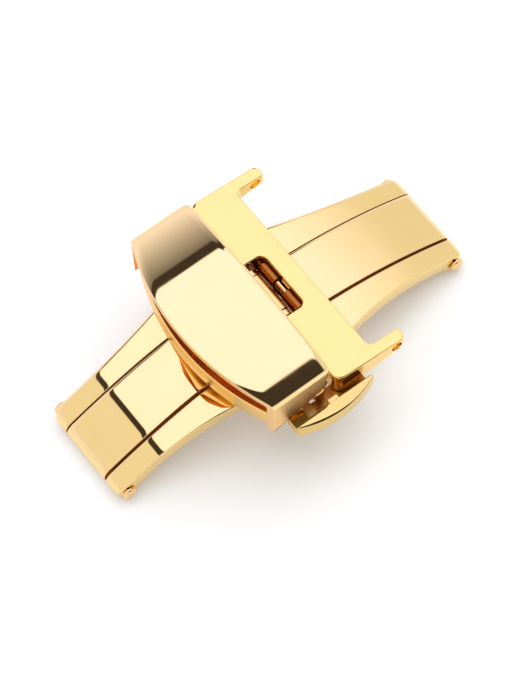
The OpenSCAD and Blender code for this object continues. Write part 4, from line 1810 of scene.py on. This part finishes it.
@dataclass
class Pin:
    """A turned pin: straight shank, and a domed head at one or both ends."""

    node: str
    body: str
    axis: Axis
    at: tuple[float, float, float]
    profile: Sequence[tuple[float, float]]
    sides: int = 40
    sharp: float = 40.0

    def build(self, wardrobe: Wardrobe, lathe: NodeTree) -> None:
        """Turns the pin and puts it in place.

        Args:
            wardrobe: The finishes.
            lathe: The tree that turns the profile.
        """
        name = f"{self.node}_turned"
        mesh = bpy.data.meshes.new(name)
        line = [(radius * MM, 0.0, height * MM) for radius, height in self.profile]
        mesh.from_pydata(line, [(i, i + 1) for i in range(len(line) - 1)], [])
        obj = new_object(name, mesh)
        lathe.apply(obj, Sides=self.sides, Material=wardrobe.materials[Tone.PIN])
        mesh = obj.data
        turn = Matrix.Rotation(math.radians(-90), 4, "X") if self.axis is Axis.ACROSS else Matrix.Identity(4)
        x, y, z = self.at
        mesh.transform(Matrix.Translation(Vector((x, y + MID_Y, z)) * MM) @ turn)
        work = bmesh.new()
        work.from_mesh(mesh)
        bmesh.ops.recalc_face_normals(work, faces=work.faces)
        work.to_mesh(mesh)
        work.free()
        mesh.polygons.foreach_set("use_smooth", [True] * len(mesh.polygons))
        mesh.set_sharp_from_angle(angle=math.radians(self.sharp))
        wardrobe.fit(obj, Tone.PIN, self.body, self.node)


def dome(radius: float, start: float, end: float, edge: float = 0.12) -> list[tuple[float, float]]:
    """Profile of a head: from its seat to its gently domed face.

    Args:
        radius: Radius of the head.
        start, end: Heights of its seat and of the middle of its face.
        edge: Radius of its rim.

    Returns:
        Points (radius, height) in order.
    """
    way = 1 if end > start else -1
    sink = 0.1 * abs(end - start)
    rim = end - way * sink
    out = [(radius - 0.03, start), (radius, start + way * 0.03)]
    out += [
        (radius - edge * (1 - math.cos(math.radians(t))), rim - way * edge * (1 - math.sin(math.radians(t))))
        for t in (0, 22, 45, 67, 90)
    ]
    flat = radius - edge
    out += [(flat - flat * k, rim + way * sink * (1 - (1 - k) ** 2)) for k in (0.3, 0.6, 0.85, 0.97)]
    return out


def shank(radius: float, half: float, edge: float = 0.05) -> list[tuple[float, float]]:
    """Profile of a plain pin with a bevel at each end."""
    bevel = [(radius - edge, -half), (radius, edge - half)]
    return bevel + [(r, -h) for r, h in reversed(bevel)]


class Pins:
    """All turned pins of the clasp."""

    def all(self) -> list[Pin]:
        """Draws the profiles, as radius and height.

        Returns:
            The pins, with their places.
        """
        double = [*reversed(dome(0.65, -4.81, -5.16)), (0.4, -4.81), (0.4, 4.81), *dome(0.65, 4.81, 5.16)]
        side = [(0.35, 0.0), (0.35, 1.38), (0.66, 1.38)]
        turns = np.radians([0, 12, 25, 38, 50, 62, 74, 85])
        side += [(0.7 * math.cos(t), 1.4 + 0.38 * math.sin(t)) for t in turns]
        catch = [(0.3, 4.65), (0.3, 6.8), (0.42, 6.8), (0.45, 6.84), (0.36, 7.0), (0.3, 7.17), (0.26, 7.2)]
        seat = [(0.3, 4.65), (0.3, 5.9), (0.55, 5.95), (0.58, 6.0), (0.24, 6.72), (0.17, 6.78)]
        peg = [(0.5, 6.16), (0.5, 8.22), (0.7, 8.22), (0.7, 9.4)]
        peg += [(0.66, 9.5), (0.58, 9.6), (0.45, 9.66), (0.2, 9.69)]
        pins = [
            Pin("left_end_pin", "base", Axis.ACROSS, (-17.45, 0, 0.9967), double),
            Pin("right_end_pin", "base", Axis.ACROSS, (17.45, 0, 0.9967), double),
            Pin("head_pin", "left_leaf", Axis.ACROSS, (0.9, 0, 7.35), shank(0.35, 2.62)),
            Pin("lug_pin", "lug_plate", Axis.ACROSS, (2.4, 0, 7.15), shank(0.35, 4.33)),
            Pin("strap_peg", "head", Axis.UP, (-5.6, 0, 0), peg),
        ]
        for side_of in Side:
            word, sign = side_of.name.lower(), side_of.value
            turned = [(r, sign * h) for r, h in side][::sign]
            pins += [
                Pin(f"{word}_cover_pin", "head", Axis.ACROSS, (-1.1, sign * 8.15, 7.0), turned),
                Pin(f"{word}_catch_stud", "base", Axis.UP, (-2.2, sign * 4.6, 0), catch),
                Pin(f"{word}_seat_stud", "base", Axis.UP, (2.4, sign * 5.4, 0), seat),
            ]
        return pins

    def build(self, wardrobe: Wardrobe) -> None:
        """Makes every pin on one lathe.

        Args:
            wardrobe: The finishes.
        """
        lathe = turning_tree()
        for pin in self.all():
            pin.build(wardrobe, lathe)


@dataclass
class Spring:
    """The coil spring behind the push button."""

    x: float = -4.2
    z: float = 7.3
    start: float = 5.4
    end: float = 8.45
    radius: float = 0.46
    wire_r: float = 0.09
    turns: float = 4.0
    fixed_end: float = 5.3
    open_end: float = 8.55
    travel: float = 0.45

    def build(self, wardrobe: Wardrobe) -> None:
        """Winds the spring and puts it in place.

        Args:
            wardrobe: The finishes.
        """
        obj = new_object("button_spring_wound", bpy.data.meshes.new("button_spring_wound"))
        spring_tree().apply(
            obj, Turns=self.turns, Radius=self.radius * MM, Length=(self.end - self.start) * MM,
            Wire_Radius=self.wire_r * MM, Material=wardrobe.materials[Tone.WIRE],
        )
        turn = Matrix.Rotation(math.radians(90), 4, "X")
        obj.data.transform(Matrix.Translation(Vector((self.x, -self.start + MID_Y, self.z)) * MM) @ turn)
        wardrobe.fit(obj, Tone.WIRE, "head", "button_spring")
        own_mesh(obj)


# ---------------------------------------------------------------- studio


@dataclass(frozen=True)
class Studio:
    """Camera, floor and soft light."""

    camera_at: tuple[float, float, float] = (-0.064546, -0.091035, 0.231540)
    right: tuple[float, float, float] = (0.79611632, -0.60484030, -0.01915788)
    up: tuple[float, float, float] = (0.55134277, 0.71192372, 0.43495490)
    back: tuple[float, float, float] = (-0.24943930, -0.35683725, 0.90024842)
    focal_px: float = 3000.04
    frame_px: float = 688.0
    floor_half: float = 3.0
    floor_gap: float = 0.00002
    floor_glow: float = 0.17
    lamp_from: tuple[float, float, float] = (0.2, 0.12, 1.0)
    lamp_angle: float = 70.0
    lamp_power: float = 1.6

    def camera(self) -> None:
        """The camera at the photograph's viewing angle."""
        data = bpy.data.cameras.new("camera")
        data.sensor_width = 36.0
        data.lens = self.focal_px * data.sensor_width / self.frame_px
        data.clip_start, data.clip_end = 0.01, 20.0
        cam = new_object("camera", data)
        rows = Matrix((self.right, self.up, self.back)).transposed()
        cam.matrix_world = Matrix.Translation(self.camera_at) @ rows.to_4x4()
        bpy.context.scene.camera = cam

    def floor(self) -> None:
        """A plain pale floor."""
        h = self.floor_half
        mesh = bpy.data.meshes.new("floor")
        mesh.from_pydata([(-h, -h, 0), (h, -h, 0), (h, h, 0), (-h, h, 0)], [], [(0, 1, 2, 3)])
        obj = new_object("floor", mesh)
        obj.location.z = -self.floor_gap
        made = bpy.data.materials.new("pale_floor")
        made.use_nodes = True
        tree = made.node_tree
        shader = tree.nodes["Principled BSDF"]
        shader.inputs["Roughness"].default_value = 0.9
        shader.inputs["Specular IOR Level"].default_value = 0.0
        path = add(tree, "ShaderNodeLightPath")
        kinds = ("Is Camera Ray", "Is Glossy Ray", "Is Transmission Ray")
        seen = greatest(tree, *(path.outputs[kind] for kind in kinds))
        where = add(tree, "ShaderNodeTexCoord").outputs["Object"]
        mottle = add(tree, "ShaderNodeTexNoise", Vector=where, Scale=3.0)
        paper = remap(tree, mottle.outputs[0], 0.2, 0.8, 0.74, 0.75)
        pale = mix_colour(tree, paper, (0, 0, 0, 1), (1.0, 1.0, 0.94, 1))
        tree.links.new(pale, shader.inputs["Base Color"])
        shader.inputs["Emission Color"].default_value = (1, 1, 1, 1)
        tree.links.new(product(tree, seen, self.floor_glow), shader.inputs["Emission Strength"])
        mesh.materials.append(made)

    def lamp(self) -> None:
        """A broad soft lamp that gives the floor its shadow and isn't mirrored in the metal."""
        data = bpy.data.lights.new("soft_lamp", "SUN")
        data.energy = self.lamp_power
        data.angle = math.radians(self.lamp_angle)
        lamp = new_object("soft_lamp", data)
        lamp.rotation_euler = Vector(self.lamp_from).to_track_quat("Z", "Y").to_euler()
        lamp.visible_glossy = False

    def light(self) -> None:
        """A soft overhead panel with dark gaps round it and pale walls beyond, as a world."""
        world = bpy.data.worlds.new("studio")
        bpy.context.scene.world = world
        world.use_nodes = True
        tree = world.node_tree
        tree.nodes.clear()
        where = add(tree, "ShaderNodeTexCoord").outputs["Generated"]
        unit = add(tree, "ShaderNodeVectorMath", {"operation": "NORMALIZE"}, in_0=where)
        x, y, z = add(tree, "ShaderNodeSeparateXYZ", Vector=unit.outputs[0]).outputs
        ramp, times, calc = (partial(make, tree) for make in (remap, product, math_node))
        # Where a ray meets a level ceiling one unit up
        high = calc("MAXIMUM", z, 0.05)
        u, v = calc("DIVIDE", x, high), calc("DIVIDE", y, high)
        # The panel widens to the right
        v = calc("SUBTRACT", v, times(calc("MAXIMUM", calc("SUBTRACT", u, 0.45), 0.0), 0.28))
        # The overhead panel fades out to the right and has sharp edges on the other sides
        panel = times(ramp(u, -0.495, -0.487), ramp(u, 1.7, 0.4), ramp(v, 0.092, 0.104), ramp(v, 0.618, 0.606))
        # Gap on the left, gap and dim wall on the far side, and the camera's own dark side
        left = times(
            ramp(u, -0.497, -0.492, 1, 0), ramp(u, -0.530, -0.523), ramp(v, 0.0, 0.1), ramp(v, 0.75, 0.6))
        slope = calc("ADD", ramp(v, 0.668, 0.655, 0.0, 0.17), ramp(v, 0.875, 0.66, 0.0, 0.83, even=True))
        far = times(ramp(v, 0.612, 0.618), slope, ramp(u, -0.55, -0.45), ramp(u, 0.95, 0.7))
        near = times(ramp(v, 0.098, 0.092), ramp(z, 0.12, 0.3), ramp(x, -0.4, -0.2), ramp(x, 0.52, 0.38))
        dark = greatest(tree, left, far, near)
        # Pale walls, a little darker towards the horizon and bluer on the far side
        wall = times(ramp(z, 0.0, 0.8, 0.86, 0.93), ramp(v, 0.7, 0.95, 1.0, 1.12))
        blue = times(wall, ramp(v, 0.5, 0.8, 1.0, 1.28))
        pale = add(tree, "ShaderNodeCombineColor", in_0=wall, in_1=wall, in_2=blue)
        cool = mix_colour(tree, panel, (0, 0, 0, 1), (0.37, 0.37, 0.82, 1))
        lit = mix_colour(tree, 1.0, pale.outputs[0], cool, "ADD")
        seen = mix_colour(tree, dark, lit, (0.055, 0.045, 0.042, 1))
        path = add(tree, "ShaderNodeLightPath")
        shown = mix_colour(tree, path.outputs["Is Camera Ray"], seen, (1, 1, 1, 1))
        glow = add(tree, "ShaderNodeBackground", Color=shown, Strength=1.0)
        out = tree.nodes.new("ShaderNodeOutputWorld")
        tree.links.new(glow.outputs[0], out.inputs["Surface"])

    def build(self) -> None:
        """Sets up the studio."""
        bpy.context.scene.view_settings.view_transform = "Standard"
        self.camera()
        self.floor()
        self.lamp()
        self.light()


def main() -> None:
    """Builds every piece in order, dresses it and sets up the studio."""
    logging.basicConfig(level=logging.INFO, format="%(name)s: %(message)s")
    Studio().build()
    wardrobe = Wardrobe()
    BaseFrame().build(wardrobe)
    Leaf("left_leaf", flip=True, inner_x=-1.4, eye=(0.9, 7.35, 0.6), cheek_in=2.0).build(wardrobe)
    Leaf(
        "right_leaf", flip=False, inner_x=1.9, eye=(2.4, 7.15, 0.65), cheek_in=0.65, far_half=2.79
    ).build(wardrobe)
    HeadBlock().build(wardrobe)
    Cover().build(wardrobe)
    LugPlate().build(wardrobe)
    PushPad().build(wardrobe)
    Pins().build(wardrobe)
    Spring().build(wardrobe)
    wardrobe.keep("catch_slide", Tone.SATIN)
    wardrobe.keep("near_keeper", Tone.LEAF)
    wardrobe.keep("far_keeper", Tone.LEAF)


if __name__ == "__main__":
    main()
